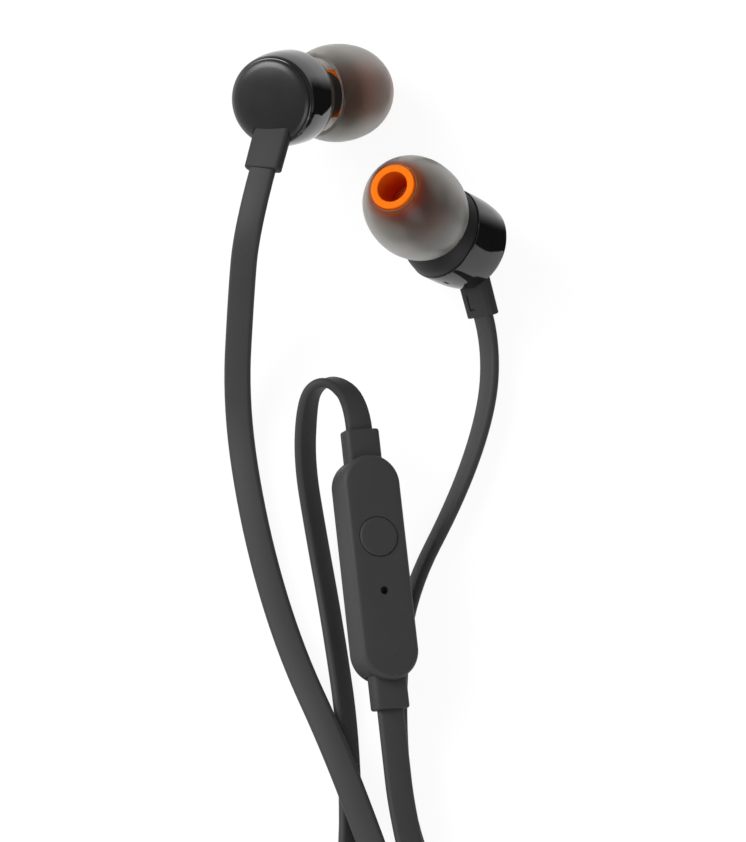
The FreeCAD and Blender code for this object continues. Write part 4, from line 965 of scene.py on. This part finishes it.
cord("left_branch", LEFT_ROUTE, ["cord_left"])
cord(
    "right_branch", RIGHT_ROUTE, ["cord_right_upper"],
)
cord("right_branch_below", LOWER_ROUTE, ["cord_right_lower"])
cord(
    "main_cord", hank_route(), ["hank", "cord_tail"],
)


# ------------------------------------------------------------------------------- the CAD's own pieces

FINISHES = {
    "nozzle_mesh": ORANGE_WEAVE, "driver_basket": GREY_MOULDING, "driver_yoke": ZINC,
    "driver_magnet": NICKEL, "pole_plate": ZINC, "voice_coil": COPPER, "diaphragm": FILM,
    "solder_board": CIRCUIT, "remote_board": CIRCUIT, "remote_switch": SWITCH_STEEL,
    "remote_microphone": CAPSULE, "plug_sleeve": GOLD, "plug_ring": GOLD, "plug_tip": GOLD,
    "plug_band": BAND,
}
for name, obj in frame["nodes"].items():
    for part, material in FINISHES.items():
        if part in name:
            if not obj.data.materials:
                obj.data.materials.append(material)
            for index in range(len(obj.data.materials)):
                obj.data.materials[index] = material


# ------------------------------------------------------------------------------- floor, world and lamps

def seen_rays(tree):
    """1 for camera, glossy and transmission rays."""
    path = tree.nodes.new("ShaderNodeLightPath")
    either = maths(tree, "MAXIMUM", path.outputs["Is Camera Ray"], path.outputs["Is Glossy Ray"])
    return maths(tree, "MAXIMUM", either, path.outputs["Is Transmission Ray"])


def floor():
    """A pale floor that looks white and keeps a soft shadow."""
    below, whiteness = -0.0001, 0.88
    bm = bmesh.new()
    bmesh.ops.create_grid(bm, x_segments=1, y_segments=1, size=3.0)
    bmesh.ops.translate(bm, vec=(0, 0, below), verts=bm.verts)
    obj = shown("floor", bm)
    material, tree, surface = bare("white_floor")
    matt = node(tree, "ShaderNodeBsdfDiffuse", {"Color": (*grey(0.86), 1)})
    glow = node(tree, "ShaderNodeEmission", {"Color": (*grey(1), 1), "Strength": 1.05})
    mask = maths(tree, "MULTIPLY", seen_rays(tree), whiteness)
    tree.links.new(mix_shader(tree, mask, matt, glow), surface)
    obj.data.materials.append(material)


def world():
    """Even studio light with a dark ceiling in the reflections; the background itself looks white."""
    ambient, rest_of_white, ceiling_below = 0.33, 0.67, -0.13
    made = bpy.data.worlds.new("studio")
    made.use_nodes = True
    tree = made.node_tree
    tree.nodes.clear()
    out = tree.nodes.new("ShaderNodeOutputWorld")
    light = node(tree, "ShaderNodeBackground", {"Color": (*grey(1), 1)})
    path = tree.nodes.new("ShaderNodeLightPath")
    split = tree.nodes.new("ShaderNodeSeparateXYZ")
    tree.links.new(tree.nodes.new("ShaderNodeTexCoord").outputs["Generated"], split.inputs[0])
    ceiling = node(tree, "ShaderNodeMapRange", {
        "From Min": 0.05, "From Max": 0.45, "To Min": rest_of_white, "To Max": ceiling_below,
    }, clamp=True)
    tree.links.new(split.outputs["Z"], ceiling.inputs["Value"])
    plain = maths(tree, "MAXIMUM", path.outputs["Is Camera Ray"], path.outputs["Is Transmission Ray"])
    plain = maths(tree, "MULTIPLY", plain, rest_of_white)
    shiny = maths(tree, "MULTIPLY", path.outputs["Is Glossy Ray"], ceiling.outputs[0])
    strength = maths(tree, "ADD", plain, maths(tree, "ADD", shiny, ambient))
    tree.links.new(strength, light.inputs["Strength"])
    tree.links.new(light.outputs[0], out.inputs["Surface"])
    bpy.context.scene.world = made


def flag(name, corners, apex):
    """A black card that only reflections see, as a studio uses for gloss.

    It thins out as the slope of the line from the apex to a point of it grows.
    """
    bm = bmesh.new()
    bm.faces.new([bm.verts.new(at(*corner)) for corner in corners])
    obj = shown(name, bm)
    material, tree, surface = bare(name)
    black = node(tree, "ShaderNodeBsdfDiffuse", {"Color": (*grey(0.01), 1)})
    clear = tree.nodes.new("ShaderNodeBsdfTransparent")
    split = tree.nodes.new("ShaderNodeSeparateXYZ")
    tree.links.new(tree.nodes.new("ShaderNodeTexCoord").outputs["Object"], split.inputs[0])
    start = at(*apex)
    rise = maths(tree, "SUBTRACT", split.outputs["Y"], start.y)
    run = maths(tree, "SUBTRACT", split.outputs["X"], start.x)
    fade = node(
        tree, "ShaderNodeMapRange", {"From Min": 0.30, "From Max": 0.95},
        clamp=True, interpolation_type="SMOOTHSTEP",
    )
    tree.links.new(maths(tree, "DIVIDE", rise, run), fade.inputs["Value"])
    tree.links.new(mix_shader(tree, fade.outputs[0], black, clear), surface)
    obj.data.materials.append(material)
    obj.visible_camera = obj.visible_diffuse = obj.visible_transmission = obj.visible_shadow = False


def lamp(name, place, size, power):
    """A soft square lamp turned to the earphones."""
    target = Vector((0, -0.03, 0))
    data = bpy.data.lights.new(name, "AREA")
    data.shape = "SQUARE"
    data.size = size
    data.energy = power
    obj = bpy.data.objects.new(name, data)
    bpy.context.scene.collection.objects.link(obj)
    obj.location = place
    obj.rotation_euler = (Vector(place) - target).to_track_quat("Z", "Y").to_euler()


floor()
flag(
    "flag_left", [(9, 1.0, 0.05), (9, -0.5, 6), (9, -4, 13), (9, -3, 18), (9, 24, 18), (9, 24, 0.05)],
    apex=(-8, 6, 0),
)
flag(
    "flag_low", [(16.8, -4, 0.05), (17, -11.6, 0.05), (34, -13.2, 0.05), (150, -66, 0.05), (150, 118, 0.05)],
    apex=(13, -9, 0),
)
flag(
    "flag_right", [(150, -66, 0.05), (150, 118, 0.05), (150, 118, 45), (150, -66, 45)],
    apex=(13, -9, 0),
)
world()
lamp("key", (-0.59, 0.21, 0.62), size=0.5, power=6.9)
lamp("fill", (0.20, -0.66, 0.55), size=0.5, power=1.9)

bpy.context.scene.view_settings.view_transform = "Standard"
